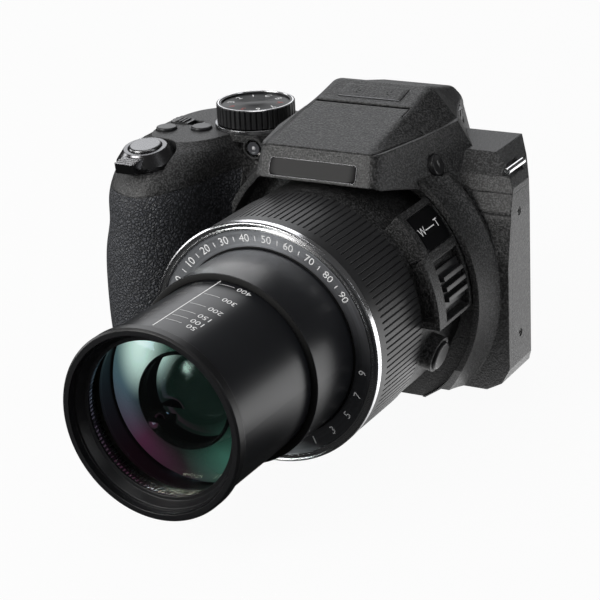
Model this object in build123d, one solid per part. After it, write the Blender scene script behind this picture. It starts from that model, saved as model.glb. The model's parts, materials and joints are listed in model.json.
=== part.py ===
from build123d import *
import math
import os

# Bridge camera with its zoom lens run out. Millimetres, +Z up.
# The origin is the mouth of the tripod socket, under the lens axis. The lens looks along -Y,
# the grip is on the -X side and the screen is on the +Y side.

# Driving dimensions of the body
left_side_x = 46.0
grip_side_x = -77.3
front_face_y = -11.4
grip_front_y = -41.0
back_face_y = 20.5
deck_z = 70.5
crest_z = 86.0
lens_axis_z = 34.0
wall = 2.2
overrun = 3.0
seat_gap = 0.3
part_gap = 0.15
running_gap = 0.06

# Body core: the left wing and the middle, seen from the front, above and the side
core_right_x = -50.0
side_rear_y = 4.2
left_rear_x = 37.0
wing_bottom_z = 4.5
wing_foot_x = 21.0
wing_step = 6.0
wing_corner = 7.0
wing_corner_share = 0.35
shoulder_width = 9.0
shoulder_height = 14.5
shoulder_shares = [(0.08, 0.48), (0.38, 0.81)]
wing_profile_shares = [(0.0, 0.60), (0.19, 0.81), (0.54, 0.93)]
wing_lean = 13.2

# Grip, drawn as level outlines. Shares are of the deck height, the side reach and the front reach.
grip_level_shares = [
    (0.0, 0.975, 0.960),
    (0.12, 0.993, 0.985),
    (0.24, 1.000, 0.998),
    (0.36, 1.002, 1.000),
    (0.48, 1.000, 0.998),
    (0.59, 0.990, 0.990),
    (0.69, 0.972, 0.978),
    (0.78, 0.970, 0.968),
    (0.86, 0.958, 0.915),
    (0.92, 0.938, 0.825),
    (0.965, 0.908, 0.690),
    (1.0, 0.865, 0.480),
]
grip_corner = 21.0
grip_ridge_x = -56.6
grip_inner_x = -43.0
grip_root_x = -36.0
grip_back_corner = 16.0
grip_ridge_share = 0.25
grip_root_shares = [(0.45, 0.12), (0.0, 0.45)]
grip_shoulder_shares = (0.45, 0.84)
grip_side_share = 0.35
grip_heel_shares = (0.16, 0.55)

# Covers
top_seam_z = 61.5
grip_seam_z = 59.0
body_seam_y = -9.0
skin = 1.2
skin_back_y = 4.2
skin_inner_x = -38.5

# Shroud round the lens
shroud_bore = 39.3
shroud_lip = 1.9
shroud_front_y = -20.5
shroud_foot = 43.6
flare_share = 0.36
shroud_toe_y = -14.0
shroud_toe_rise = 13.0
throat_radius = 31.0
throat_floor_y = -13.5

# Hump: lower part, then the raised roof. Half widths go with the stations that follow.
band_front_y = -36.2
band_bottom_z = 69.1
roof_seam_y = -32.9
roof_seam_z = 77.4
plate_front_y = -2.4
plate_front_z = 83.6
crest_y = 7.5
hump_back_y = 29.0
hump_back_z = 80.2
hump_root_z = 60.0
band_half = 17.9
waist_y = -15.0
waist_half = 22.0
brow_y = 5.0
brow_half = 24.2
tail_y = 17.0
tail_half = 18.8
rear_half = 14.4
roof_half = 15.0
roof_rear_half = 12.0
roof_round = 3.5
band_corner = 4.0
band_root_half = 19.5
waist_root_half = 27.5
brow_root_half = 35.0
tail_root_half = 25.0
rear_root_half = 19.0

# Lens barrels. Each place is along Y, with the lens run out.
barrel_radius = 33.6
barrel_back_y = -8.5
barrel_wall = 2.4
rib_count = 120
rib_depth = 0.45
rib_share = 0.7
rib_front_y = -62.0
rib_back_y = -41.0
trim_radius = 33.8
trim_front_y = -67.8
trim_band = 2.2
trim_ridge = 0.55
trim_groove = 0.5
trim_ridge_drop = 0.15
name_ring_bore = 26.8
name_ring_depth = 1.2
name_ring_sink = 0.5
sleeve_wall = 1.0
guide_length = 2.4
trim_chamfer = 0.4
stage_one_radius = 26.3
stage_one_front_y = -86.4
stage_one_back_y = -46.0
stage_wall = 1.2
stage_two_radius = 24.3
stage_two_back_y = -77.0
stage_two_wall = 1.7
rim_radius = 25.3
rim_front_y = -124.1
rim_length = 3.0
rim_bore = 21.6
filter_bore = 23.4
filter_depth = 2.2
rim_chamfer = 0.5
bezel_lip = 0.7
glass_radius = 20.6
glass_sag = 2.6
glass_edge = 3.0
glass_sink = 5.2
second_y = -112.0
second_edge = 4.0
second_sag = 1.6
second_ledge = 1.4
rear_radius = 11.0
rear_bore = 8.0
rear_front_y = -20.0
base_plate_thickness = 3.0
motor_radius = 4.5
motor_x = -20.0
motor_z = 50.0
motor_back_y = 1.5
motor_shaft = 0.8
motor_shaft_length = 2.0

# Zoom pod on the left of the barrel
pod_radius = 38.9
pod_front_y = -41.0
pod_step = 2.5
pod_low_angle = -1.0
pod_high_angle = 48.5
pod_slot_depth = 3.0
pod_lip = 1.4
pod_slot_end = 3.0
lever_low_angle = 4.5
lever_high_angle = 21.5
lever_front_y = -36.5
lever_back_y = -21.5
lever_depth = 2.6
lever_sink = 1.3
lever_rise = 0.6
lever_rib = 0.9
lever_rib_angle = 0.9
lever_rib_pitch = 4.2
lever_swing = 3.0
plate_low_angle = 28.5
plate_high_angle = 45.5
plate_depth = 0.8
pod_plate_front_y = -38.5
pod_plate_back_y = -20.5
snap_angle = -17.0
snap_button_y = -34.0
snap_button_radius = 4.0
snap_button_rise = 1.0
snap_button_travel = 0.8

# Controls on the deck
dial_x = -40.7
dial_y = 4.4
dial_radius = 11.6
dial_height = 5.4
dial_foot = 1.5
dial_foot_radius = 12.2
dial_groove_count = 44
dial_groove = 0.45
dial_shaft = 2.5
dial_lid_recess = 0.5
shutter_x = -60.1
shutter_y = -26.0
shutter_seat_z = 65.9
shutter_tilt = 8.0
shutter_radius = 4.75
shutter_travel = 1.0
shutter_stem = 1.8
shutter_proud = 0.7
ring_radius = 8.8
ring_top_radius = 6.3
ring_height = 4.6
ring_floor = 1.3
ring_boss_radius = 3.1
ring_boss_height = 1.9
ring_tab_reach = 11.8
ring_tab_width = 6.0
ring_tab_height = 4.0
deck_button_radius = 3.05
deck_button_rise = 0.9
deck_button_travel = 0.7
burst_x = -63.6
burst_y = -9.2
exposure_x = -53.9
exposure_y = -5.3
switch_x = -61.5
switch_y = -0.8
switch_length = 6.0
switch_width = 4.4
switch_travel = 3.0
switch_depth = 1.0
switch_rise = 0.7
wheel_x = -64.6
wheel_y = 11.0
wheel_radius = 9.2
wheel_low_z = 62.4
wheel_height = 4.8
wheel_pin_radius = 1.5
wheel_groove_count = 32
flash_button_y = -12.0
flash_button_z = 69.5
af_x = -35.5
af_y = -7.4
af_z = 66.7
af_radius = 2.6
af_rim = 0.8
af_length = 6.0

# Flash head
hinge_y = -6.5
hinge_z = 79.6
knuckle_radius = 3.1
cheek_radius = 4.6
cheek_half = 14.6
hinge_pin_radius = 0.8
hinge_pin_half = 17.4
lid_wall = 1.5
lamp_half = 12.0
lamp_front_y = -29.8
lamp_back_y = -21.5
lamp_low_z = 71.6
lamp_sweep_y = -31.2
lamp_glass = 1.0
lamp_roof_z = 77.0

# Eyepiece
eye_z = 69.5
eye_half_width = 9.5
eye_half_height = 5.8
eye_corner = 2.5
eye_frame_depth = 3.0
eyecup_back_y = 35.5
eyecup_wall = 2.0
eyecup_rim = 2.6
eye_lens_depth = 2.0
finder_front_y = 6.0
finder_half = 8.0
finder_half_height = 4.6
finder_wall = 0.8
diopter_radius = 5.0
diopter_height = 4.0
diopter_y = 17.0
diopter_z = 72.8
diopter_proud = 1.0
diopter_pin = 1.2
diopter_groove_count = 24

# Back of the camera
screen_low_x = -29.0
screen_high_x = 35.5
screen_low_z = 7.5
screen_high_z = 57.5
screen_depth = 1.6
screen_lip = 3.0
panel_depth = 3.0
pad_x = -49.5
pad_z = 29.0
pad_radius = 10.2
pad_bore = 4.6
pad_rise = 1.2
pad_floor = 0.6
pad_rock = 0.45
back_button_radius = 2.9
back_button_rise = 0.8
flange_lip = 0.5
dish_sink = 0.25
back_buttons = {
    "playback_button": (-38.0, 47.0),
    "movie_button": (-55.0, 51.0),
    "back_button": (-38.0, 11.0),
    "display_button": (-55.5, 11.0),
}

# Inside and under the body
cell_radius = 7.1
cell_length = 49.5
cell_low_z = 4.2
cell_pitch = 14.4
cell_x = -65.35
cell_y = -14.9
cell_nub = 1.0
cell_nub_radius = 2.7
tray_low_z = 2.6
tray_top = 2.5
tray_wall = 0.9
door_inset = 2.6
door_back_y = 6.4
door_relief = 0.65
door_relief_height = 0.45
door_pin_y = 7.8
door_pin_radius = 0.6
door_knuckle_radius = 1.0
door_knuckle_length = 6.0
door_knuckle_x = -61.0
door_knuckle_pitch = 17.0
door_pin_z = 1.1
door_pin_half = 12.5
latch_x = -60.0
latch_y = -30.0
latch_length = 9.0
latch_width = 4.5
latch_travel = 2.5
latch_depth = 1.2
latch_rib = 0.3
socket_radius = 5.2
socket_bore = 3.175
socket_depth = 6.5
port_cover_low_y = 6.5
port_cover_high_y = 15.0
port_cover_low_z = 14.0
port_cover_high_z = 36.0
port_knuckle = 0.85
port_pin_radius = 0.4
port_pin_seat = 2.0
port_hinge_x = -76.35
port_relief = 0.65
port_reach = 9.65
port_hinge_y = 6.25
port_board_x = -65.5
port_board_low_y = 7.5
port_socket_depth = 4.2
port_socket_y = 10.5
port_socket_half = 1.6
port_socket_wall = 0.4
port_sockets = [(19.5, 8.0), (29.5, 10.0)]
screw_radius = 1.1
screw_sink = 0.2
side_screw_y = -3.4
side_screw_places = [20.0, 56.0]
base_screw_places = [(-38.0, -3.0), (-38.0, 16.0), (14.0, -3.0), (14.0, 16.0)]
strap_bar_places = [(43.2, 0.6, 67.4), (-72.6, -6.0, 66.0)]
strap_bar_radius = 0.9
strap_bar_seat = 1.0
strap_slot_half = 4.5
strap_slot_depth = 1.9
board_thickness = 1.0
sensor_width = 12.0
sensor_height = 10.0
sensor_y = -2.0
sensor_depth = 1.6
sensor_plate_half = 18.0
post_radius = 1.5
post_x = 15.0
chassis_low_x = -36.0
chassis_high_x = 38.0
chassis_y = 3.0
chassis_thickness = 0.6
chassis_top_z = 58.0
chassis_window = 12.0
chassis_foot = 4.0
board_low_z = 6.0
board_chips = [(-15.0, 20.0, 12.0), (5.0, 22.0, 9.0), (20.0, 40.0, 14.0), (-18.0, 45.0, 8.0)]
collar_radius = 33.2
snap_drop = 2.2
snap_depth = 3.0


def prism_z(points, bottom, top):
    """Upright prism of an outline given as (x, y)."""
    return extrude(Pos(0, 0, bottom) * Polygon(*points, align=None), top - bottom)


def prism_y(points, front, back):
    """Prism along the lens axis of an outline given as (x, z)."""
    face = Plane(origin=(0, front, 0), x_dir=(1, 0, 0), z_dir=(0, -1, 0)) * Polygon(*points, align=None)
    return extrude(face, front - back)


def prism_x(points, right, left):
    """Prism across the body of an outline given as (y, z)."""
    face = Plane(origin=(right, 0, 0), x_dir=(0, 1, 0), z_dir=(1, 0, 0)) * Polygon(*points, align=None)
    return extrude(face, left - right)


def block(x_low, x_high, y_low, y_high, z_low, z_high):
    """Box between two limits on each axis."""
    middle = Pos((x_low + x_high) / 2, (y_low + y_high) / 2, (z_low + z_high) / 2)
    return middle * Box(x_high - x_low, y_high - y_low, z_high - z_low)


def front_outline(inset):
    """Outline of the left wing and the middle, seen from the front."""
    side = left_side_x - inset
    floor = wing_bottom_z + inset
    top = deck_z - inset
    bend = wing_corner_share * wing_corner
    points = [
        (core_right_x, inset),
        (wing_foot_x - inset, inset),
        (wing_foot_x + wing_step, floor),
        (side - wing_corner, floor),
        (side - bend, floor + bend),
        (side, floor + wing_corner),
        (side, top - shoulder_height),
    ]
    for side_share, rise_share in shoulder_shares:
        points.append((side - side_share * shoulder_width, top - shoulder_height + rise_share * shoulder_height))
    return points + [(side - shoulder_width, top), (core_right_x, top)]


def core(inset=0.0):
    """Left wing and middle of the body; inset moves every side inwards."""
    plan = prism_z([
        (core_right_x, front_face_y + inset),
        (left_side_x - inset, front_face_y + inset),
        (left_side_x - inset, side_rear_y),
        (left_rear_x - inset, back_face_y - inset),
        (core_right_x, back_face_y - inset),
    ], 0, deck_z)
    front = prism_y(front_outline(inset), front_face_y, back_face_y)
    profile = [(y + inset, z) for y, z in reversed(wing_profile())]
    side = prism_x([(front_face_y + inset, 0), (back_face_y, 0), (back_face_y, deck_z)] + profile,
                   core_right_x, left_side_x)
    return plan & front & side


def wing_profile():
    """Front face of the body as (y, z) from its upright part to the deck, leaning back more and more."""
    shares = wing_profile_shares + [(1.0, 1.0)]
    return [(front_face_y + lean * wing_lean, height * deck_z) for lean, height in shares]


def front_y_at(level):
    """Place of the front face of the body at one height."""
    below_y, below_z = front_face_y, 0.0
    for y, z in wing_profile():
        if level <= z:
            return below_y + (y - below_y) * (level - below_z) / (z - below_z)
        below_y, below_z = y, z
    return below_y


def grip_outline(level, side_share, front_share, inset):
    """One level outline of the grip."""
    side = grip_side_x * side_share + inset
    front = grip_front_y * front_share + inset
    radius = (grip_corner - inset) * front_share
    face = front_y_at(level) + inset
    inner = grip_inner_x - inset
    back = back_face_y - inset
    centre_x = side + radius
    centre_y = front + radius
    bend = math.sqrt(0.5) * radius
    ridge_x = grip_ridge_x + (inner - grip_ridge_x) * grip_ridge_share
    points = [(grip_root_x, face)]
    for across_share, reach_share in grip_root_shares:
        points.append((inner + (grip_root_x - inner) * across_share, face + (front - face) * reach_share))
    across_share, reach_share = grip_shoulder_shares
    points.append((inner + (ridge_x - inner) * across_share, face + (front - face) * reach_share))
    points += [
        (ridge_x, front),
        (centre_x - bend, centre_y - bend),
        (side, centre_y),
        (side, centre_y + (back - centre_y) * grip_side_share),
    ]
    across_share, reach_share = grip_heel_shares
    points += [
        (side + grip_back_corner * across_share, back - grip_back_corner * reach_share),
        (side + grip_back_corner, back),
        (grip_root_x, back),
    ]
    edges = Spline(*points) + Line(points[-1], points[0])
    return Pos(0, 0, level) * make_face(edges)


def grip(inset=0.0):
    """Hand grip, lofted through its level outlines."""
    outlines = []
    for level_share, side_share, front_share in grip_level_shares:
        level = level_share * (deck_z - 2 * inset) + inset
        outlines.append(grip_outline(level, side_share, front_share, inset))
    return loft(outlines)


def hump_plan(halves, level, front_y, inset):
    """Level outline of the lower hump, from its half widths front to back."""
    places = [front_y + inset, waist_y, brow_y, tail_y, hump_back_y - inset]
    right = [(half - inset, y) for half, y in zip(halves, places)]
    left = [(-x, y) for x, y in reversed(right)]
    return Pos(0, 0, level) * Polygon(*(right + left), align=None)


def hump_lower(inset=0.0):
    """Hump below the roof seam, with its name band leaning back."""
    lean = (roof_seam_y - band_front_y) / (roof_seam_z - band_bottom_z)
    root_front_y = band_front_y - lean * (band_bottom_z - hump_root_z)
    roots = [band_root_half, waist_root_half, brow_root_half, tail_root_half, rear_root_half]
    tops = [band_half, waist_half, brow_half, tail_half, rear_half]
    bottom = hump_plan(roots, hump_root_z, root_front_y, inset)
    top = hump_plan(tops, roof_seam_z, roof_seam_y, inset)
    return loft([bottom, top], ruled=True)


def hump_half(place):
    """Half width of the hump along its roof seam."""
    stations = [(roof_seam_y, band_half), (waist_y, waist_half), (brow_y, brow_half), (tail_y, tail_half),
                (hump_back_y, rear_half)]
    for (near_y, near_half), (far_y, far_half) in zip(stations, stations[1:]):
        if place <= far_y:
            return near_half + (far_half - near_half) * (place - near_y) / (far_y - near_y)
    return rear_half


def roof_section(y, low_half, high_half, height, inset):
    """One cross-section of the roof, seen along the lens axis."""
    points = [
        (inset - low_half, roof_seam_z - seat_gap),
        (low_half - inset, roof_seam_z - seat_gap),
        (high_half - inset, height - inset),
        (inset - high_half, height - inset),
    ]
    return Plane(origin=(0, y, 0), x_dir=(1, 0, 0), z_dir=(0, -1, 0)) * Polygon(*points, align=None)


def hump_roof(inset=0.0):
    """Roof of the hump: the flash lid, the crest and the eyepiece housing behind it."""
    sections = [
        roof_section(roof_seam_y + inset, band_half - inset, roof_half - inset, roof_seam_z + seat_gap, 0),
        roof_section(plate_front_y, hump_half(plate_front_y), roof_half, plate_front_z, inset),
        roof_section(crest_y, hump_half(crest_y), roof_half, crest_z, inset),
        roof_section(tail_y, tail_half, roof_rear_half, (crest_z + hump_back_z) / 2, inset),
        roof_section(hump_back_y - inset, rear_half, roof_rear_half, hump_back_z, inset),
    ]
    return loft(sections, ruled=True)


def hump_form():
    """Closed outer form of the hump, with its front corners and the edges of its roof rounded."""
    low = hump_lower()
    corners = [edge for edge in low.edges() if edge.center().Y < roof_seam_y and edge.bounding_box().size.Z > wall]
    roof = hump_roof()
    edges = []
    for edge in roof.edges():
        along = abs(edge.center().X) > roof_rear_half / 2 and edge.bounding_box().size.Y > seat_gap
        across = abs(edge.center().X) < wall and plate_front_y - wall < edge.center().Y < tail_y + wall
        if edge.bounding_box().min.Z > roof_seam_z and (along or across):
            edges.append(edge)
    return fillet(corners, band_corner) + fillet(edges, roof_round)


def shroud():
    """Flared ring that stands round the lens, with the floor that carries the lens."""
    root_y = front_face_y + wall / 2
    profile = [
        (throat_radius, root_y),
        (throat_radius, throat_floor_y),
        (shroud_bore, throat_floor_y),
        (shroud_bore, shroud_front_y),
        (shroud_bore + shroud_lip, shroud_front_y),
    ]
    lip_end = (shroud_bore + shroud_lip, shroud_front_y)
    foot = (shroud_foot, front_face_y)
    middle = (lip_end[0] + (foot[0] - lip_end[0]) * flare_share, foot[1] + (lip_end[1] - foot[1]) * flare_share)
    edges = Polyline(*profile) + ThreePointArc(lip_end, middle, foot)
    edges += Polyline(foot, (shroud_foot, root_y), profile[0])
    face = Pos(0, 0, lens_axis_z) * make_face(edges)
    return revolve(face, Axis((0, 0, lens_axis_z), (0, 1, 0)))


def rod_y(radius, front, back, x=0.0, z=lens_axis_z):
    """Cylinder that lies along the lens axis direction."""
    return Pos(x, (front + back) / 2, z) * Rot(X=90) * Cylinder(radius, back - front)


def rod_z(radius, bottom, top, x=0.0, y=0.0):
    """Upright cylinder."""
    return Pos(x, y, (bottom + top) / 2) * Cylinder(radius, top - bottom)


def rod_x(radius, right, left, y=0.0, z=0.0):
    """Cylinder that lies across the body."""
    return Pos((right + left) / 2, y, z) * Rot(Y=90) * Cylinder(radius, left - right)


def turned(profile):
    """Body of revolution about the lens axis, of an outline given as (radius, y)."""
    face = Pos(0, 0, lens_axis_z) * Polygon(*profile, align=None)
    return revolve(face, Axis((0, 0, lens_axis_z), (0, 1, 0)))


def tube_y(outer, inner, front, back):
    """Plain ring about the lens axis."""
    return turned([(inner, front), (outer, front), (outer, back), (inner, back)])


def sector(outer, inner, front, back, low_angle, high_angle):
    """Part of a ring about the lens axis, between two angles above the +X side."""
    profile = [(inner, front), (outer, front), (outer, back), (inner, back)]
    face = Rot(Y=-low_angle) * Polygon(*profile, align=None)
    part = revolve(face, Axis((0, 0, 0), (0, -1, 0)), high_angle - low_angle)
    return Pos(0, 0, lens_axis_z) * part


def at_angle(angle, radius, y):
    """Frame on the lens barrel whose +Z points away from the lens axis."""
    turn = math.radians(angle)
    x = radius * math.cos(turn)
    z = lens_axis_z + radius * math.sin(turn)
    return Pos(x, y, z) * Rot(Y=90 - angle)


def upper_zone():
    """Space above the seam of the top cover."""
    top = crest_z + overrun
    outline = [
        (grip_side_x - overrun, grip_seam_z),
        (grip_ridge_x, grip_seam_z),
        (grip_root_x, top_seam_z),
        (left_side_x + overrun, top_seam_z),
        (left_side_x + overrun, top),
        (grip_side_x - overrun, top),
    ]
    return prism_y(outline, grip_front_y - overrun, hump_back_y + overrun)


def lens_hollow():
    """Space for the barrel in front of the body, with a flat roof under the name band."""
    space = rod_y(shroud_bore, grip_front_y - overrun, throat_floor_y)
    keep = block(-shroud_bore, shroud_bore, grip_front_y - overrun, throat_floor_y,
                 lens_axis_z - shroud_bore, band_bottom_z)
    return space & keep


def outer_body():
    """Closed outer form of the body with its hump."""
    return core() + (hump_form() - lens_hollow()) + grip()


def inner_body():
    """Hollow of the body, one wall inside the outer form."""
    hump = hump_lower(wall)
    hump -= block(-shroud_bore, shroud_bore, band_front_y - overrun, front_face_y + wall,
                  hump_root_z - overrun, band_bottom_z + lid_wall)
    hump -= block(-brow_half, brow_half, back_face_y - wall, hump_back_y + overrun,
                  hump_root_z - overrun, hump_root_z + wall)
    finder = hump_roof(wall) & block(-brow_half, brow_half, crest_y - wall, hump_back_y, roof_seam_z - wall, crest_z)
    return core(wall) + grip(wall) + hump + finder


def shroud_part():
    """Shroud, trimmed to the outline of the body and stopped short of the grip."""
    trim = prism_y(front_outline(part_gap), shroud_front_y - overrun, body_seam_y + overrun)
    trim &= prism_x([
        (shroud_front_y - overrun, deck_z),
        (shroud_front_y - overrun, shroud_toe_rise),
        (shroud_front_y, shroud_toe_rise),
        (shroud_toe_y, 0),
        (body_seam_y, 0),
        (body_seam_y, deck_z),
    ], grip_side_x, left_side_x)
    reach = block(grip_root_x + part_gap, left_side_x, shroud_front_y - overrun, body_seam_y, 0, deck_z)
    return shroud() & trim & reach


def skin_zone():
    """Space that the rubber skin of the grip takes up."""
    zone = block(grip_side_x - overrun, skin_inner_x, grip_front_y - overrun, skin_back_y, wall, top_seam_z)
    return zone - upper_zone()


def deck_frame():
    """Frame of the shutter release, leaning to the front."""
    return Pos(shutter_x, shutter_y, shutter_seat_z) * Rot(X=shutter_tilt)


def flash_button_frame():
    """Frame of the flash button on the left flank of the hump."""
    back_share = (flash_button_y - waist_y) / (brow_y - waist_y)
    top = waist_half + (brow_half - waist_half) * back_share
    root = waist_root_half + (brow_root_half - waist_root_half) * back_share
    height = roof_seam_z - hump_root_z
    x = top + (root - top) * (roof_seam_z - flash_button_z) / height
    lean = math.degrees(math.atan2(height, root - top))
    return Pos(x, flash_button_y, flash_button_z) * Rot(Y=lean)


def hinge_rod(radius, half):
    """Rod along the hinge axis of the flash."""
    return rod_x(radius, -half, half, hinge_y, hinge_z)


def lid_zone():
    """Space of the flash lid: in front of the hinge, and the knuckle between the cheeks."""
    wide = block(-brow_half - overrun, brow_half + overrun, band_front_y, hinge_y, roof_seam_z, crest_z)
    zone = wide - hinge_rod(cheek_radius + seat_gap, brow_half + overrun)
    middle = block(-cheek_half, cheek_half, hinge_y - 2 * cheek_radius, hinge_y, roof_seam_z, crest_z)
    return zone + middle + hinge_rod(knuckle_radius, cheek_half)


def grooved_disc(radius, height, groove, count, share=0.55):
    """Knob with straight grooves round its edge, standing on z = 0."""
    step = 2 * math.pi / count
    points = []
    for index in range(count):
        for reach, shift in [(radius, 0.0), (radius, share), (radius - groove, (1 + share) / 2)]:
            angle = (index + shift) * step
            points.append((reach * math.cos(angle), reach * math.sin(angle)))
    return extrude(Polygon(*points, align=None), height)


def make_covers():
    """Front, rear, top and bottom covers, the grip skin and the flash lid blank."""
    outer = outer_body()
    shell = outer - inner_body()
    ring = shroud_part()
    above = upper_zone()
    skin_blank = (grip() - grip(skin)) & skin_zone()
    lid_blank = hump_form() & lid_zone()
    base_zone = block(grip_side_x - overrun, wing_foot_x - wall, grip_front_y - overrun,
                      back_face_y + overrun, -overrun, wall)
    front_zone = block(grip_side_x - overrun, left_side_x + overrun, grip_front_y - overrun,
                       body_seam_y, -overrun, deck_z)
    rear_zone = block(grip_side_x - overrun, left_side_x + overrun, body_seam_y,
                      hump_back_y + overrun, -overrun, deck_z)
    lower = shell - above
    throat = rod_y(throat_radius, grip_front_y, base_plate_back() + part_gap)
    front = (lower & front_zone) - base_zone - throat + ring - skin_blank
    rear = (lower & rear_zone) - base_zone - skin_blank - throat
    bottom = (shell & base_zone) - ring
    top = (shell & above) - ring - throat
    return front, rear, top, bottom, skin_blank - ring, lid_blank


def cut_top(top):
    """Openings, seats and posts of the top cover."""
    top -= block(-brow_half - overrun, brow_half + overrun, band_front_y - overrun, hinge_y - cheek_radius,
                 roof_seam_z, crest_z)
    top -= block(-cheek_half - part_gap, cheek_half + part_gap, hinge_y - 2 * cheek_radius,
                 hinge_y + knuckle_radius / 2, roof_seam_z, crest_z)
    top -= hinge_rod(knuckle_radius + seat_gap, cheek_half + part_gap)
    front_of_cheeks = block(-brow_half - overrun, brow_half + overrun, hinge_y - 2 * cheek_radius, hinge_y,
                            roof_seam_z, crest_z)
    top -= front_of_cheeks - hinge_rod(cheek_radius, brow_half + overrun)
    top -= hinge_rod(hinge_pin_radius, hinge_pin_half)
    top -= block(-lamp_half - seat_gap, lamp_half + seat_gap, lamp_sweep_y, lamp_front_y, lamp_low_z, roof_seam_z)
    top += rod_z(dial_foot_radius, deck_z - wall, deck_z, dial_x, dial_y)
    top -= rod_z(dial_shaft + running_gap, deck_z - 2 * wall, deck_z + overrun, dial_x, dial_y)
    seat = deck_frame()
    bowl = ring_radius + part_gap
    top += seat * rod_z(bowl + wall, -wall, 0) & outer_body()
    top -= seat * rod_z(bowl, 0, 2 * ring_height)
    sweep = seat * Pos(0, -ring_tab_reach, ring_height) * Box(3 * ring_tab_width, 2 * ring_tab_reach, 2 * ring_height)
    top -= sweep
    top += seat * rod_z(ring_boss_radius, -wall, ring_boss_height)
    top -= seat * rod_z(shutter_stem + running_gap, -2 * wall, 2 * ring_height)
    for x, y in [(burst_x, burst_y), (exposure_x, exposure_y)]:
        top -= Pos(x, y, deck_z) * deck_button_hole()
    half = (switch_length + switch_travel) / 2
    top -= block(switch_x - half - part_gap, switch_x + half + part_gap,
                 switch_y - switch_width / 2 - part_gap, switch_y + switch_width / 2 + part_gap,
                 deck_z - switch_depth, deck_z + overrun)
    top -= rod_z(wheel_radius + seat_gap, wheel_low_z - seat_gap, wheel_low_z + wheel_height + seat_gap,
                 wheel_x, wheel_y)
    top += rod_z(wheel_pin_radius, wheel_low_z, deck_z - wall / 2, wheel_x, wheel_y)
    top -= flash_button_frame() * deck_button_hole()
    top += lamp_frame() * rod_z(af_radius + af_rim, -af_length, 0)
    top -= lamp_frame() * rod_z(af_radius + running_gap, -af_length - running_gap, overrun)
    opening = Pos(0, hump_back_y, eye_z) * Rot(X=90) * extrude(
        RectangleRounded(2 * eye_half_width, 2 * eye_half_height, eye_corner), wall + overrun, both=True)
    top -= opening
    top -= rod_z(diopter_radius + seat_gap, diopter_z - seat_gap, diopter_z + diopter_height + seat_gap,
                 diopter_x(), diopter_y)
    top += rod_z(diopter_pin, diopter_z - overrun, roof_seam_z + wall, diopter_x(), diopter_y)
    return top


def diopter_x():
    """Place of the dioptre wheel, so that its edge stands proud of the side of the hump."""
    share = (diopter_y - tail_y) / (hump_back_y - tail_y)
    side = tail_half + (rear_half - tail_half) * share
    return side + diopter_proud - diopter_radius


def largest(shape):
    """The biggest solid of a cut, without its crumbs."""
    return max(shape.solids(), key=lambda solid: solid.volume)


def lamp_frame():
    """Axis of the focus lamp in the brow, looking forwards."""
    return Pos(af_x, af_y, af_z) * Rot(X=90)


def make_af_lamp():
    """Clear lens of the focus lamp."""
    return lamp_frame() * rod_z(af_radius, -af_length, -af_rim / 2)


def deck_button_hole():
    """Stepped hole of a deck button, in the frame of the button."""
    low = -wall - running_gap - flange_lip - deck_button_travel - part_gap
    hole = rod_z(deck_button_radius + part_gap, low, overrun)
    return hole + rod_z(flange_radius(deck_button_radius) + part_gap, low, -wall)


def flange_radius(radius):
    """Radius of the hidden flange of a round button."""
    return radius + 2 * part_gap + flange_lip


def make_rear(rear):
    """Openings and seats of the rear cover."""
    outside = back_face_y + overrun
    rear -= block(screen_low_x, screen_high_x, back_face_y - screen_depth, outside, screen_low_z, screen_high_z)
    rear -= block(screen_low_x + screen_lip, screen_high_x - screen_lip, back_face_y - 2 * wall, outside,
                  screen_low_z + screen_lip, screen_high_z - screen_lip)
    rear -= rod_y(pad_radius + part_gap, back_face_y - wall + pad_floor, outside, pad_x, pad_z)
    rear -= rod_y(pad_bore - part_gap, back_face_y - 2 * wall, outside, pad_x, pad_z)
    for x, z in back_buttons.values():
        rear -= rod_y(back_button_radius + part_gap, back_face_y - 2 * wall, outside, x, z)
        rear -= rod_y(flange_radius(back_button_radius) + part_gap, back_face_y - 2 * wall, back_face_y - wall, x, z)
    rear -= port_cover_blank(part_gap)
    rear -= rod_z(port_knuckle + port_relief, port_cover_low_z - part_gap, port_cover_high_z + part_gap,
                  port_hinge_x, port_hinge_y)
    rear -= rod_z(port_pin_radius, port_cover_low_z - port_pin_seat, port_cover_high_z + port_pin_seat,
                  port_hinge_x, port_hinge_y)
    for z in side_screw_places:
        rear -= rod_x(screw_radius + running_gap, left_side_x - wall - overrun, left_side_x + overrun, side_screw_y, z)
    return rear


def port_cover_blank(gap):
    """Curved plate of the port cover, cut from the side wall of the grip."""
    zone = block(grip_side_x - overrun, grip_side_x + grip_back_corner, port_cover_low_y - gap,
                 port_cover_high_y + gap, port_cover_low_z - gap, port_cover_high_z + gap)
    return zone & (grip() - grip(wall))


def make_port_cover():
    """Port cover with its hinge knuckle."""
    swing = rod_z(port_reach, port_cover_low_z, port_cover_high_z, port_hinge_x, port_hinge_y)
    plate = port_cover_blank(0.0) & swing
    knuckle = rod_z(port_knuckle, port_cover_low_z, port_cover_high_z, port_hinge_x, port_hinge_y)
    cover = largest(plate + (knuckle & grip()))
    return cover - rod_z(port_pin_radius + running_gap, 0, deck_z, port_hinge_x, port_hinge_y)


def make_port_board():
    """Small board behind the port cover with its two sockets."""
    board = block(port_board_x, port_board_x + board_thickness, port_board_low_y,
                  port_cover_high_y, port_cover_low_z, port_cover_high_z)
    for z, height in port_sockets:
        shell = block(port_board_x - port_socket_depth, port_board_x, port_socket_y - port_socket_half,
                      port_socket_y + port_socket_half, z - height / 2, z + height / 2)
        mouth = block(port_board_x - port_socket_depth - overrun, port_board_x - board_thickness,
                      port_socket_y - port_socket_half + port_socket_wall,
                      port_socket_y + port_socket_half - port_socket_wall,
                      z - height / 2 + port_socket_wall, z + height / 2 - port_socket_wall)
        board += shell - mouth
    return board


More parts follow.
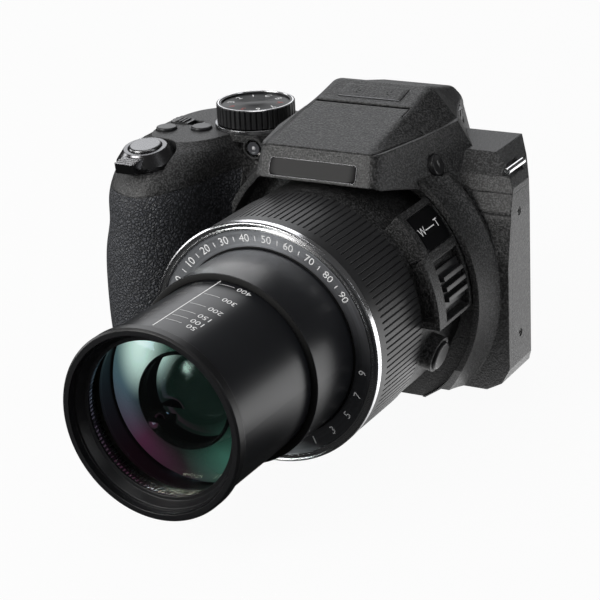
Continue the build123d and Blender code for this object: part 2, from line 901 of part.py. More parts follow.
def door_outline(gap):
    """Battery door seen from below, one rim inside the foot of the grip."""
    level_share, side_share, front_share = grip_level_shares[0]
    face = grip_outline(level_share, side_share, front_share, door_inset - gap)
    limit = block(grip_side_x, grip_inner_x + gap, grip_front_y, door_back_y + gap, 0, wall)
    return extrude(face, wall) & limit


def door_knuckles(radius, gap, low_share):
    """Knuckles of the battery door, with the web that ties them to the door."""
    parts = []
    for index in range(2):
        x = door_knuckle_x + (index - 0.5) * door_knuckle_pitch
        half = door_knuckle_length / 2 + gap
        barrel = rod_x(radius, x - half, x + half, door_pin_y, door_pin_z)
        web = block(x - half, x + half, door_back_y - wall, door_pin_y, door_pin_z - radius * low_share,
                    door_pin_z + radius)
        parts.append(barrel + web)
    return parts[0] + parts[1]


def make_bottom(bottom):
    """Bottom cover with the battery opening and the tripod hole."""
    bottom -= door_outline(seat_gap)
    bottom -= block(door_knuckle_x - door_pin_half, grip_inner_x, door_back_y, door_back_y + door_relief,
                    -overrun, door_relief_height)
    room = door_knuckle_radius + part_gap
    for index in range(2):
        x = door_knuckle_x + (index - 0.5) * door_knuckle_pitch
        half = door_knuckle_length / 2 + part_gap
        bottom -= block(x - half, x + half, door_back_y - wall, door_pin_y + room, -overrun, 2 * wall)
    bottom -= rod_x(door_pin_radius, door_knuckle_x - door_pin_half, door_knuckle_x + door_pin_half,
                    door_pin_y, door_pin_z)
    bottom -= rod_z(socket_radius, -overrun, wall + overrun)
    for x, y in base_screw_places:
        bottom -= rod_z(screw_radius + running_gap, -overrun, 2 * wall, x, y)
    return bottom


def make_battery_door():
    """Battery door with its knuckles and the pocket of the latch."""
    door = door_outline(0.0) + door_knuckles(door_knuckle_radius, 0.0, 1.0)
    door -= rod_x(door_pin_radius + running_gap, grip_side_x, grip_inner_x, door_pin_y, door_pin_z)
    half = latch_width / 2 + part_gap
    door -= block(latch_x - half, latch_x + half, latch_y - latch_travel - part_gap,
                  latch_y + latch_length + part_gap, -overrun, latch_depth)
    return door


def make_latch():
    """Sliding latch of the battery door, with grip ribs across it."""
    latch = block(latch_x - latch_width / 2, latch_x + latch_width / 2, latch_y, latch_y + latch_length,
                  latch_rib, latch_depth - running_gap)
    for index in range(4):
        y = latch_y + latch_length * (index + 1) / 6
        latch += block(latch_x - latch_width / 2, latch_x + latch_width / 2, y, y + latch_rib, 0, 2 * latch_rib)
    return latch


def cell_places():
    """Centres of the four cells."""
    return [(cell_x + i * cell_pitch, cell_y + j * cell_pitch) for i in range(2) for j in range(2)]


def make_tray():
    """Battery tray in the grip: four joined tubes with a stop above the cells."""
    top = cell_low_z + cell_length + cell_nub + tray_top
    outer = rod_z(cell_radius + tray_wall, tray_low_z, top, cell_x + cell_pitch / 2, cell_y + cell_pitch / 2)
    for x, y in cell_places():
        outer += rod_z(cell_radius + tray_wall, tray_low_z, top, x, y)
    tray = outer & grip(wall + part_gap)
    for x, y in cell_places():
        tray -= rod_z(cell_radius + running_gap, 0, top - tray_top, x, y)
    return tray


def make_cells():
    """Four cells, each with its terminal nub."""
    cells = []
    for x, y in cell_places():
        body = rod_z(cell_radius, cell_low_z, cell_low_z + cell_length, x, y)
        cells.append(body + rod_z(cell_nub_radius, cell_low_z, cell_low_z + cell_length + cell_nub, x, y))
    return Compound(cells)


def make_ribbed_sleeve():
    """Grooved sleeve of the fixed barrel."""
    step = 2 * math.pi / rib_count
    points = []
    for index in range(rib_count):
        for reach, shift in [(barrel_radius, 0.0), (barrel_radius, rib_share),
                             (barrel_radius - rib_depth, (1 + rib_share) / 2)]:
            angle = (index + shift) * step
            points.append((reach * math.cos(angle), lens_axis_z + reach * math.sin(angle)))
    ribbed = prism_y(points, rib_front_y, rib_back_y)
    band = rod_y(barrel_radius, trim_front_y + trim_band, rib_front_y)
    return ribbed + band - rod_y(core_radius(), trim_front_y, rib_back_y + overrun)


def core_radius():
    """Outside of the inner tube that carries the sleeve and the collar."""
    return barrel_radius - rib_depth - sleeve_wall


def make_barrel():
    """Fixed inner tube of the lens, with the guide for the first moving tube in its mouth."""
    guide = stage_one_radius + running_gap
    bore = core_radius() - barrel_wall
    mouth = trim_front_y + name_ring_sink + name_ring_depth
    return turned([
        (guide, mouth),
        (core_radius(), mouth),
        (core_radius(), throat_floor_y),
        (throat_radius - part_gap, throat_floor_y),
        (throat_radius - part_gap, barrel_back_y),
        (bore, barrel_back_y),
        (bore, mouth + guide_length),
        (guide, mouth + guide_length),
    ])


def make_trim_ring():
    """Polished ring round the mouth of the fixed barrel."""
    inner = trim_radius - trim_band
    return turned([
        (inner, trim_front_y + trim_ridge_drop),
        (inner + trim_ridge, trim_front_y + trim_ridge_drop),
        (inner + trim_ridge, trim_front_y + trim_groove),
        (trim_radius - trim_ridge, trim_front_y + trim_groove),
        (trim_radius - trim_ridge, trim_front_y),
        (trim_radius - trim_chamfer, trim_front_y),
        (trim_radius, trim_front_y + trim_chamfer),
        (trim_radius, trim_front_y + trim_band),
        (core_radius(), trim_front_y + trim_band),
        (core_radius(), trim_front_y + name_ring_sink + name_ring_depth),
        (inner, trim_front_y + name_ring_sink + name_ring_depth),
    ])


def make_name_ring():
    """Flat ring inside the trim ring; its face falls slightly towards the bore."""
    front = trim_front_y + name_ring_sink
    back = front + name_ring_depth
    return turned([
        (name_ring_bore, front + name_ring_sink),
        (trim_radius - trim_band, front),
        (trim_radius - trim_band, back),
        (name_ring_bore, back),
    ])


def make_stage_one():
    """First moving tube, with its guide lip in front and its flange behind."""
    inner = stage_one_radius - stage_wall
    lip = stage_two_radius + running_gap
    flange = core_radius() - barrel_wall - running_gap
    return turned([
        (lip, stage_one_front_y),
        (stage_one_radius, stage_one_front_y),
        (stage_one_radius, stage_one_back_y - guide_length),
        (flange, stage_one_back_y - guide_length),
        (flange, stage_one_back_y),
        (inner, stage_one_back_y),
        (inner, stage_one_front_y + guide_length),
        (lip, stage_one_front_y + guide_length),
    ])


def make_stage_two():
    """Second moving tube, which carries the front glass."""
    inner = stage_two_radius - stage_two_wall
    flange = stage_one_radius - stage_wall - running_gap
    front = rim_front_y + rim_length
    return turned([
        (inner, front),
        (stage_two_radius, front),
        (stage_two_radius, stage_two_back_y - guide_length),
        (flange, stage_two_back_y - guide_length),
        (flange, stage_two_back_y),
        (inner, stage_two_back_y),
        (inner, second_y + second_edge + second_ledge),
        (inner - second_ledge, second_y + second_edge + second_ledge),
        (inner - second_ledge, second_y + second_edge),
        (inner, second_y + second_edge),
    ])


def make_front_rim():
    """Front rim with its filter bore and the stepped bezel round the glass."""
    spigot = stage_two_radius - stage_two_wall
    return turned([
        (filter_bore, rim_front_y),
        (rim_radius - rim_chamfer, rim_front_y),
        (rim_radius, rim_front_y + rim_chamfer),
        (rim_radius, rim_front_y + rim_length),
        (spigot, rim_front_y + rim_length),
        (spigot, rim_front_y + glass_sink + glass_edge),
        (glass_radius, rim_front_y + glass_sink + glass_edge),
        (glass_radius, rim_front_y + glass_sink - bezel_lip),
        (rim_bore, rim_front_y + glass_sink - bezel_lip),
        (filter_bore - bezel_lip, rim_front_y + filter_depth),
        (filter_bore, rim_front_y + filter_depth),
    ])


def lens_face(radius, edge_y, sag):
    """Arc of a lens face from the axis to its edge; it bulges to the front by its sag."""
    bend = (radius ** 2 + sag ** 2) / (2 * abs(sag))
    half_turn = math.asin(radius / bend) / 2
    way = math.copysign(1, sag)
    middle = (bend * math.sin(half_turn), edge_y - sag + way * bend * (1 - math.cos(half_turn)))
    return ThreePointArc((0, edge_y - sag), middle, (radius, edge_y))


def lens_blank(radius, front, edge, front_sag, back_sag):
    """Round lens with an upright edge; each face bulges to the front by its own sag."""
    back = front + edge
    edges = lens_face(radius, front, front_sag) + Line((radius, front), (radius, back))
    edges += lens_face(radius, back, back_sag) + Line((0, back - back_sag), (0, front - front_sag))
    face = Pos(0, 0, lens_axis_z) * make_face(edges)
    return revolve(face, Axis((0, 0, lens_axis_z), (0, 1, 0)))


def make_rear_group():
    """Rear lens group: a flanged sleeve on the lens base."""
    return turned([
        (rear_bore, rear_front_y),
        (rear_radius, rear_front_y),
        (rear_radius, barrel_back_y),
        (rear_radius + wall, barrel_back_y),
        (rear_radius + wall, base_plate_back()),
        (rear_bore, base_plate_back()),
    ])


def base_plate_back():
    """Back face of the lens base plate."""
    return barrel_back_y + base_plate_thickness


def make_base_plate():
    """Round plate behind the fixed barrel, with the motor seat."""
    plate = tube_y(throat_radius - part_gap, rear_radius + wall, barrel_back_y, base_plate_back())
    return plate - rod_y(motor_radius + running_gap, barrel_back_y - overrun, overrun, motor_x, motor_z)


def make_motor():
    """Zoom motor with its pinion."""
    can = rod_y(motor_radius, barrel_back_y, motor_back_y, motor_x, motor_z)
    return can + rod_y(motor_shaft, barrel_back_y - motor_shaft_length, barrel_back_y, motor_x, motor_z)


def make_sensor():
    """Image sensor in its package, behind the rear group."""
    half_x = sensor_width / 2
    half_z = sensor_height / 2
    package = block(-half_x, half_x, sensor_y, sensor_y + sensor_depth, lens_axis_z - half_z, lens_axis_z + half_z)
    return package


def make_sensor_plate():
    """Metal plate that carries the sensor on the lens base."""
    plate = block(-sensor_plate_half, sensor_plate_half, sensor_y + sensor_depth,
                  sensor_y + sensor_depth + board_thickness,
                  lens_axis_z - sensor_plate_half / 2, lens_axis_z + sensor_plate_half / 2)
    for side in (-1, 1):
        plate += rod_y(post_radius, base_plate_back(), sensor_y + sensor_depth, side * post_x, lens_axis_z)
    return plate


def make_chassis():
    """Folded metal frame between the lens and the main board."""
    sheet = block(chassis_low_x, chassis_high_x, chassis_y, chassis_y + chassis_thickness, wall, chassis_top_z)
    sheet -= block(-chassis_window, chassis_window, chassis_y - overrun, chassis_y + overrun,
                   lens_axis_z - chassis_window, lens_axis_z + chassis_window)
    foot = block(chassis_low_x, chassis_high_x, chassis_y, chassis_y + chassis_foot, wall, wall + chassis_thickness)
    room = rod_z(socket_radius + seat_gap, 0, socket_depth + wall + seat_gap)
    return (sheet + foot - room) & core(wall + seat_gap)


def make_main_board():
    """Main board with its chips, behind the chassis."""
    front = chassis_y + chassis_thickness + chassis_foot
    board = block(chassis_low_x, chassis_high_x, front, front + board_thickness, board_low_z, chassis_top_z)
    for x, z, size in board_chips:
        board += block(x - size / 2, x + size / 2, front + board_thickness, front + 2 * board_thickness,
                       z - size / 2, z + size / 2)
    for x in (chassis_low_x + post_radius, chassis_high_x - post_radius):
        board += rod_y(post_radius, chassis_y + chassis_thickness, front, x, chassis_top_z - 2 * post_radius)
    return board & core(wall + seat_gap)


def make_screen():
    """Screen window and the display module behind it."""
    glass_back = back_face_y - screen_depth
    window = block(screen_low_x + part_gap, screen_high_x - part_gap, glass_back, back_face_y,
                   screen_low_z + part_gap, screen_high_z - part_gap)
    inside = screen_lip + part_gap
    panel = block(screen_low_x + inside, screen_high_x - inside, glass_back - panel_depth, glass_back,
                  screen_low_z + inside, screen_high_z - inside)
    return window, panel


def make_pad():
    """Ring of the four-way selector, dished towards its centre."""
    floor = back_face_y - wall + pad_floor + pad_rock
    pad = rod_y(pad_radius, floor, back_face_y + pad_rise, pad_x, pad_z)
    dish = pad_radius - 2 * pad_rise
    pad -= rod_y(dish, back_face_y + pad_rise / 2, back_face_y + 2 * pad_rise, pad_x, pad_z)
    return pad - rod_y(pad_bore, 0, back_face_y + overrun, pad_x, pad_z)


def back_button(x, z, radius):
    """Round button of the back, held behind the cover by its flange."""
    inside = back_face_y - wall
    head = rod_y(radius, inside - running_gap, back_face_y + back_button_rise, x, z)
    head -= Pos(x, back_face_y + back_button_rise + dish_radius(radius), z) * Sphere(dish_radius(radius) + dish_sink)
    flange = rod_y(flange_radius(radius), inside - running_gap - flange_lip, inside - running_gap, x, z)
    return head + flange


def dish_radius(radius):
    """Radius of the shallow finger dish of a button."""
    return 3 * radius


def deck_button():
    """Round button of the deck in its own frame: z = 0 is the outside of the cover."""
    head = rod_z(deck_button_radius, -wall - running_gap, deck_button_rise)
    head = fillet(head.edges().sort_by(Axis.Z)[-1], deck_button_rise / 2)
    flange = rod_z(flange_radius(deck_button_radius), -wall - running_gap - flange_lip,
                   -wall - running_gap)
    return head + flange


def make_mode_dial():
    """Mode dial: grooved edge, sunken top and shaft."""
    low = deck_z + dial_foot
    knob = grooved_disc(dial_radius, dial_height, dial_groove, dial_groove_count)
    knob -= rod_z(dial_radius - 2 * dial_groove - dial_lid_recess, dial_height - dial_lid_recess, dial_height + overrun)
    knob += rod_z(dial_shaft, -dial_foot - wall, dial_height / 2)
    return Pos(dial_x, dial_y, low) * knob


def make_dial_foot():
    """Thin bright ring under the mode dial."""
    outer = rod_z(dial_foot_radius, deck_z, deck_z + dial_foot - seat_gap, dial_x, dial_y)
    return outer - rod_z(dial_shaft + part_gap, deck_z - overrun, deck_z + overrun, dial_x, dial_y)


def make_wheel():
    """Command wheel in the rear corner of the deck."""
    wheel = grooved_disc(wheel_radius, wheel_height, dial_groove, wheel_groove_count)
    wheel -= rod_z(wheel_pin_radius + running_gap, -overrun, wheel_height + overrun)
    return Pos(wheel_x, wheel_y, wheel_low_z) * wheel


def make_power_switch():
    """Sliding power switch with three grip ridges."""
    half = switch_length / 2
    floor = deck_z - switch_depth + running_gap
    switch = block(switch_x - half, switch_x + half, switch_y - switch_width / 2, switch_y + switch_width / 2,
                   floor, deck_z + switch_rise / 2)
    for index in range(3):
        x = switch_x + (index - 1) * switch_length / 5
        switch += block(x - switch_rise / 2, x + switch_rise / 2, switch_y - switch_width / 2,
                        switch_y + switch_width / 2, floor, deck_z + switch_rise)
    return Pos(-switch_travel / 2, 0, 0) * switch


def make_zoom_lever():
    """Zoom lever round the shutter button: a sloping ring with a ribbed tab."""
    gap = running_gap
    ring_face = Plane.XZ * Polygon(
        (ring_boss_radius + gap, gap),
        (ring_radius, gap),
        (ring_radius, ring_floor),
        (ring_top_radius, ring_height),
        (shutter_radius + 2 * part_gap, ring_height),
        (shutter_radius + 2 * part_gap, ring_floor),
        (ring_boss_radius + gap, ring_floor),
        align=None)
    ring = revolve(ring_face, Axis.Z)
    tab = block(-ring_tab_width / 2, ring_tab_width / 2, -ring_tab_reach, -ring_top_radius, ring_floor,
                ring_tab_height)
    for index in range(4):
        y = -ring_tab_reach + index * (ring_tab_reach - ring_top_radius) / 5
        tab += block(-ring_tab_width / 2, ring_tab_width / 2, y, y + rib_depth, ring_floor,
                     ring_tab_height + rib_depth)
    return deck_frame() * (ring + tab)


def make_shutter():
    """Shutter button, slightly domed, with its stem."""
    low = ring_boss_height + shutter_travel + part_gap
    top = ring_height + shutter_proud
    button = rod_z(shutter_radius, low, top)
    button = fillet(button.edges().sort_by(Axis.Z)[-1], shutter_proud)
    return deck_frame() * (button + rod_z(shutter_stem, -wall, low))


def make_collar():
    """Smooth collar behind the sleeve, with the zoom pod on the left."""
    inner = core_radius()
    collar = tube_y(collar_radius, inner, rib_back_y, throat_floor_y)
    collar += sector(pod_radius, core_radius(), pod_front_y, throat_floor_y, pod_low_angle, plate_low_angle)
    collar += sector(pod_radius, core_radius(), pod_front_y + pod_step, throat_floor_y,
                     plate_low_angle, pod_high_angle)
    collar += at_angle(snap_angle, 0, snap_button_y) * rod_z(
        snap_button_radius + wall / 2, core_radius(), pod_radius - snap_drop)
    collar -= sector(pod_radius - pod_lip, collar_radius, pod_front_y - overrun, pod_front_y + pod_slot_depth,
                     pod_low_angle + pod_slot_end, plate_low_angle)
    collar -= sector(pod_radius + overrun, pod_radius - lever_depth, lever_front_y, lever_back_y,
                     lever_low_angle - lever_swing - lever_rib_angle, lever_high_angle + lever_swing + lever_rib_angle)
    collar -= sector(pod_radius + overrun, pod_radius - plate_depth, pod_plate_front_y + pod_step, pod_plate_back_y,
                     plate_low_angle + lever_rib_angle, plate_high_angle)
    hole = at_angle(snap_angle, 0, snap_button_y)
    collar -= hole * rod_z(snap_button_radius + part_gap, pod_radius - snap_drop - snap_depth, pod_radius + overrun)
    return collar


def make_side_lever():
    """Side zoom lever with its cross ribs."""
    base = pod_radius - lever_depth + running_gap
    lever = sector(pod_radius - lever_sink, base, lever_front_y + part_gap, lever_back_y - part_gap,
                   lever_low_angle, lever_high_angle)
    middle = (lever_low_angle + lever_high_angle) / 2
    for step in (-1, 0, 1):
        angle = middle + step * lever_rib_pitch
        lever += sector(pod_radius + lever_rise, base, lever_front_y + lever_rib + lever_rise,
                        lever_back_y - lever_rib - lever_rise, angle - lever_rib_angle, angle + lever_rib_angle)
    return lever


def make_snap_button():
    """Instant zoom button under the side lever."""
    top = pod_radius - snap_drop
    button = rod_z(snap_button_radius, top - snap_depth + snap_button_travel + part_gap, top + snap_button_rise)
    button = fillet(button.edges().sort_by(Axis.Z)[-1], snap_button_rise / 2)
    return at_angle(snap_angle, 0, snap_button_y) * button


def make_flash_head(lid):
    """Flash lid, hollow below, with the lamp housing behind its window."""
    hollow = (hump_roof(lid_wall) + hump_lower(lid_wall)) & block(
        -brow_half, brow_half, band_front_y, hinge_y - knuckle_radius - lid_wall, roof_seam_z - overrun, crest_z)
    hollow -= hinge_rod(cheek_radius + 2 * lid_wall, brow_half)
    lid -= hollow
    housing = block(-lamp_half, lamp_half, lamp_front_y, lamp_back_y, lamp_low_z, roof_seam_z)
    housing -= block(-lamp_half + lid_wall, lamp_half - lid_wall, lamp_front_y - overrun, lamp_back_y - lid_wall,
                     lamp_low_z + lid_wall, lamp_roof_z - lid_wall)
    roof = hump_form() & block(-lamp_half, lamp_half, lamp_front_y, lamp_back_y, roof_seam_z, crest_z)
    head = lid + housing + roof
    return head - hinge_rod(hinge_pin_radius + running_gap, brow_half)


def make_flash_window():
    """Clear window of the flash lamp."""
    return block(-lamp_half + lid_wall, lamp_half - lid_wall, lamp_front_y, lamp_front_y + lamp_glass,
                 lamp_low_z + lid_wall, lamp_roof_z - lid_wall)


def make_eye_frame():
    """Frame of the eyepiece in the back of the hump."""
    outer = RectangleRounded(2 * eye_half_width - 2 * part_gap, 2 * eye_half_height - 2 * part_gap, eye_corner)
    place = Pos(0, hump_back_y + eye_frame_depth, eye_z) * Rot(X=90)
    return place * extrude(outer - eye_opening(), eye_frame_depth + wall)


def eye_opening():
    """Clear opening of the eyepiece frame."""
    return RectangleRounded(2 * (eye_half_width - eyecup_wall), 2 * (eye_half_height - eyecup_wall), eye_corner / 2)


def make_eye_lens():
    """Eyepiece lens inside its frame."""
    place = Pos(0, hump_back_y + eye_lens_depth / 2, eye_z) * Rot(X=90)
    return place * extrude(eye_opening(), eye_lens_depth)


def eye_outline(margin):
    """Rounded outline round the eyepiece, wider than its housing by a margin."""
    return RectangleRounded(2 * (eye_half_width + margin), 2 * (eye_half_height + margin), eye_corner + margin)


def make_eyecup():
    """Rubber eyecup that widens to its rim."""
    small = eye_outline(eyecup_wall)
    large = eye_outline(eyecup_rim)
    front = hump_back_y + part_gap
    outside = loft([
        Pos(0, front, eye_z) * Rot(X=90) * small,
        Pos(0, eyecup_back_y, eye_z) * Rot(X=90) * large,
    ])
    hole_small = eye_outline(0.0)
    hole_large = eye_outline(eyecup_wall / 2)
    inside = loft([
        Pos(0, front - overrun, eye_z) * Rot(X=90) * hole_small,
        Pos(0, eyecup_back_y + overrun, eye_z) * Rot(X=90) * hole_large,
    ])
    return outside - inside


def make_finder():
    """Finder unit in the hump: a tube with its small display in front."""
    shell = block(-finder_half, finder_half, finder_front_y, hump_back_y - wall - part_gap,
                  eye_z - finder_half_height, eye_z + finder_half_height)
    bore = block(-finder_half + finder_wall, finder_half - finder_wall, finder_front_y + finder_wall,
                 hump_back_y, eye_z - finder_half_height + finder_wall, eye_z + finder_half_height - finder_wall)
    return shell - bore


def make_diopter():
    """Dioptre wheel at the left of the eyepiece."""
    wheel = grooved_disc(diopter_radius, diopter_height, dial_groove, diopter_groove_count)
    wheel -= rod_z(diopter_pin + running_gap, -overrun, diopter_height + overrun)
    return Pos(diopter_x(), diopter_y, diopter_z) * wheel


def make_socket():
    """Flanged tripod socket in the base."""
    socket = rod_z(socket_radius, 0, socket_depth + wall)
    return socket - rod_z(socket_bore, -overrun, socket_depth)


def make_screws():
    """Case screws: two in the left side and four in the base."""
    screws = []
    for z in side_screw_places:
        screws.append(rod_x(screw_radius, left_side_x - wall, left_side_x - screw_sink, side_screw_y, z))
    for x, y in base_screw_places:
        screws.append(rod_z(screw_radius, screw_sink, wall, x, y))
    return Compound(screws)


def strap_bar(x, y, z):
    """One strap bar with its ends let into the cover."""
    reach = strap_slot_half + strap_bar_seat
    return rod_y(strap_bar_radius, y - reach, y + reach, x, z)


def make_strap_bars():
    """Bright strap bars, one at each shoulder."""
    return Compound([strap_bar(x, y, z) for x, y, z in strap_bar_places])


def strap_slot(x, y, z):
    """Pocket round a strap bar."""
    return block(x - strap_slot_depth, x + strap_slot_depth, y - strap_slot_half,
                 y + strap_slot_half, z - strap_slot_depth, z + strap_slot_depth)


def make_hinge_pins():
    """Steel pins of the flash, the battery door and the port cover."""
    flash_pin = hinge_rod(hinge_pin_radius, hinge_pin_half)
    door_pin = rod_x(door_pin_radius, door_knuckle_x - door_pin_half, door_knuckle_x + door_pin_half,
                     door_pin_y, door_pin_z)
    port_pin = rod_z(port_pin_radius, port_cover_low_z - port_pin_seat, port_cover_high_z + port_pin_seat,
                     port_hinge_x, port_hinge_y)
    return Compound([flash_pin, door_pin, port_pin])


def make_menu_button():
    """Button in the middle of the four-way selector."""
    return back_button(pad_x, pad_z, pad_bore - 2 * part_gap)


def make_parts():
    """All the nodes, by name."""
    front, rear, top, bottom, skin_part, lid = make_covers()
    parts = {}
    top = cut_top(top)
    for place in strap_bar_places:
        top -= strap_slot(*place)
        top -= strap_bar(*place)
    window, panel = make_screen()
    parts["front_cover"] = front - flash_button_frame() * deck_button_hole()
    parts["rear_cover"] = largest(make_rear(rear))
    parts["top_cover"] = top
    parts["bottom_cover"] = make_bottom(bottom)
    parts["grip_skin"] = largest(skin_part)
    parts["af_lamp_lens"] = make_af_lamp()
    parts["fixed_barrel"] = make_barrel()
    parts["ribbed_sleeve"] = make_ribbed_sleeve()
    parts["barrel_collar"] = make_collar()
    parts["side_zoom_lever"] = make_side_lever()
    parts["instant_zoom_button"] = make_snap_button()
    parts["trim_ring"] = make_trim_ring()
    parts["name_ring"] = make_name_ring()
    parts["zoom_stage_one"] = make_stage_one()
    parts["zoom_stage_two"] = make_stage_two()
    parts["front_rim"] = make_front_rim()
    parts["front_glass"] = lens_blank(glass_radius, rim_front_y + glass_sink, glass_edge, glass_sag, glass_sag / 3)
    parts["second_glass"] = lens_blank(stage_two_radius - stage_two_wall, second_y, second_edge,
                                       second_sag, second_sag / 2)
    parts["rear_lens_group"] = make_rear_group()
    parts["rear_glass"] = lens_blank(rear_bore, rear_front_y + wall, wall, wall / 2, -wall / 2)
    parts["lens_base_plate"] = make_base_plate()
    parts["zoom_motor"] = make_motor()
    parts["image_sensor"] = make_sensor()
    parts["sensor_plate"] = make_sensor_plate()
    parts["chassis"] = make_chassis()
    parts["main_board"] = make_main_board()
    parts["screen_window"] = window
    parts["screen_panel"] = panel
    parts["selector_pad"] = make_pad()
    parts["menu_button"] = make_menu_button()
    for name, (x, z) in back_buttons.items():
        parts[name] = back_button(x, z, back_button_radius)
    parts["mode_dial"] = make_mode_dial()
    parts["mode_dial_foot"] = make_dial_foot()
    parts["command_wheel"] = make_wheel()
    parts["power_switch"] = make_power_switch()
    parts["zoom_lever"] = make_zoom_lever()
    parts["shutter_button"] = make_shutter()
    parts["burst_button"] = Pos(burst_x, burst_y, deck_z) * deck_button()
    parts["exposure_button"] = Pos(exposure_x, exposure_y, deck_z) * deck_button()
    parts["flash_button"] = flash_button_frame() * deck_button()
    parts["flash_head"] = make_flash_head(lid)
    parts["flash_window"] = make_flash_window()
    parts["hinge_pins"] = make_hinge_pins()
    parts["eyepiece_frame"] = make_eye_frame()
    parts["eyepiece_lens"] = make_eye_lens()
    parts["eyecup"] = make_eyecup()
    parts["finder_unit"] = make_finder()
    parts["diopter_wheel"] = make_diopter()
    parts["battery_door"] = make_battery_door()
    parts["battery_latch"] = make_latch()
    parts["battery_tray"] = make_tray()
    parts["battery_cells"] = make_cells()
    parts["port_cover"] = make_port_cover()
    parts["port_board"] = make_port_board()
    parts["tripod_socket"] = make_socket()
    parts["case_screws"] = make_screws()
    parts["strap_bars"] = make_strap_bars()
    return parts


os.makedirs("parts", exist_ok=True)
for node, part in make_parts().items():
    print(node, part.is_valid, len(part.solids()), round(part.volume, 1))
    export_step(part, "parts/" + node + ".step")
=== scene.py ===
import json
import math
import bpy
from mathutils import Matrix, Vector
from mathutils.bvhtree import BVHTree


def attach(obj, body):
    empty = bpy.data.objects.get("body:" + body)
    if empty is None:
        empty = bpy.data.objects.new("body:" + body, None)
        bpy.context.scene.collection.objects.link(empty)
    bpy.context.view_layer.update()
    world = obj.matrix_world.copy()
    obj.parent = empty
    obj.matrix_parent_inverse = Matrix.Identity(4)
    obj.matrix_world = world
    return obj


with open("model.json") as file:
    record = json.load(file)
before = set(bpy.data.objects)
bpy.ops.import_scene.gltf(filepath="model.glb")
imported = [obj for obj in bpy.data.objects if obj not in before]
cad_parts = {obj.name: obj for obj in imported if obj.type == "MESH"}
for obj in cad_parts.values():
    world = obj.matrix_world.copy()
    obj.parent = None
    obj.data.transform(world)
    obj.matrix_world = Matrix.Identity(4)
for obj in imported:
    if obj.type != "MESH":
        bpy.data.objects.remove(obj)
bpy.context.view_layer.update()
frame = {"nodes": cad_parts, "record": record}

# Looks of a bridge camera with its zoom lens run out, which looks along -Y. The scene is in metres.
# Sizes and places of the pieces below are in mm, and those of lamps, floor and grains in m.
mm = 0.001
lensZ = 34 * mm  # height of the lens axis


# Camera, light and floor
viewLook = dict(
    place=(256.3, -497.6, 238.1),  # mm
    target=(-26.7, 0.0, 18.2),
    focal=122.8,
    roll=-3.01,  # degrees
    sensor=36,
    clip=(0.01, 20),  # m
)


def makeCamera():
    data = bpy.data.cameras.new("photoCamera")
    data.lens = viewLook["focal"]
    data.sensor_width = viewLook["sensor"]
    data.clip_start, data.clip_end = viewLook["clip"]
    cam = bpy.data.objects.new("photoCamera", data)
    bpy.context.collection.objects.link(cam)
    place = Vector(viewLook["place"]) * mm
    target = Vector(viewLook["target"]) * mm
    aim = (target - place).to_track_quat("-Z", "Y").to_matrix()
    turn = Matrix.Rotation(math.radians(viewLook["roll"]), 3, "Z")
    cam.matrix_world = Matrix.Translation(place) @ (aim @ turn).to_4x4()
    bpy.context.scene.camera = cam


makeCamera()
print("camera placed")

softBoxes = dict(
    # name: place (m), size (m), power (W), colour
    keyBox=((-0.50, -0.85, 0.58), (0.60, 0.70), 9.6, (1.0, 0.99, 0.97)),
    rearBox=((-0.50, 0.85, 0.62), (0.70, 0.80), 3.0, (0.97, 0.98, 1.0)),
    sideBox=((1.00, -0.15, 0.45), (0.30, 0.70), 1.6, (0.96, 0.98, 1.0)),
    gripBox=((-1.00, -0.10, 0.25), (0.35, 0.60), 2.0, (1.0, 1.0, 1.0)),
    topBox=((0.10, -0.15, 1.20), (0.60, 0.60), 2.0, (1.0, 1.0, 1.0)),
    glassBox=((-0.66, -1.02, 0.12), (0.20, 0.16), 0.9, (0.93, 1.0, 0.97)),
)
lampAim = (0, -0.03, 0.04)  # m, every lamp points at the body


def makeLights():
    for name, (place, size, power, colour) in softBoxes.items():
        lamp = bpy.data.lights.new(name, "AREA")
        lamp.shape = "RECTANGLE"
        lamp.size, lamp.size_y = size
        lamp.energy = power
        lamp.color = colour
        ob = bpy.data.objects.new(name, lamp)
        bpy.context.collection.objects.link(ob)
        ob.location = place
        aim = Vector(lampAim) - Vector(place)
        ob.rotation_euler = aim.to_track_quat("-Z", "Y").to_euler()


makeLights()
worldLook = dict(seen=1.0, fill=0.32, mirrored=0.05)


def mixByRay(tree, share, plain, chosen):
    # chosen where the share is 1, and plain elsewhere
    mix = tree.nodes.new("ShaderNodeMixShader")
    tree.links.new(share, mix.inputs[0])
    tree.links.new(plain, mix.inputs[1])
    tree.links.new(chosen, mix.inputs[2])
    return mix.outputs[0]


def makeWorld():
    world = bpy.data.worlds.new("studioWorld")
    bpy.context.scene.world = world
    world.use_nodes = True
    tree = world.node_tree
    tree.nodes.clear()
    out = tree.nodes.new("ShaderNodeOutputWorld")
    path = tree.nodes.new("ShaderNodeLightPath")
    shades = []
    for level in (worldLook["fill"], worldLook["mirrored"], worldLook["seen"]):
        shade = tree.nodes.new("ShaderNodeBackground")
        shade.inputs["Color"].default_value = (1, 1, 1, 1)
        shade.inputs["Strength"].default_value = level
        shades.append(shade.outputs[0])
    fill, mirrored, seen = shades
    mixed = mixByRay(tree, path.outputs["Is Glossy Ray"], fill, mirrored)
    mixed = mixByRay(tree, path.outputs["Is Camera Ray"], mixed, seen)
    tree.links.new(mixed, out.inputs[0])


makeWorld()
floorLook = dict(
    half=3.0,  # m
    height=-0.0002,
    paint=0.5,
    white=0.95,
    card=1.9,
    cardLeast=0.02,
    cardStart=(-0.03, -0.07),  # x and y where the card begins
    cardEnd=(0.05, -0.01),  # x and y where it is full
)


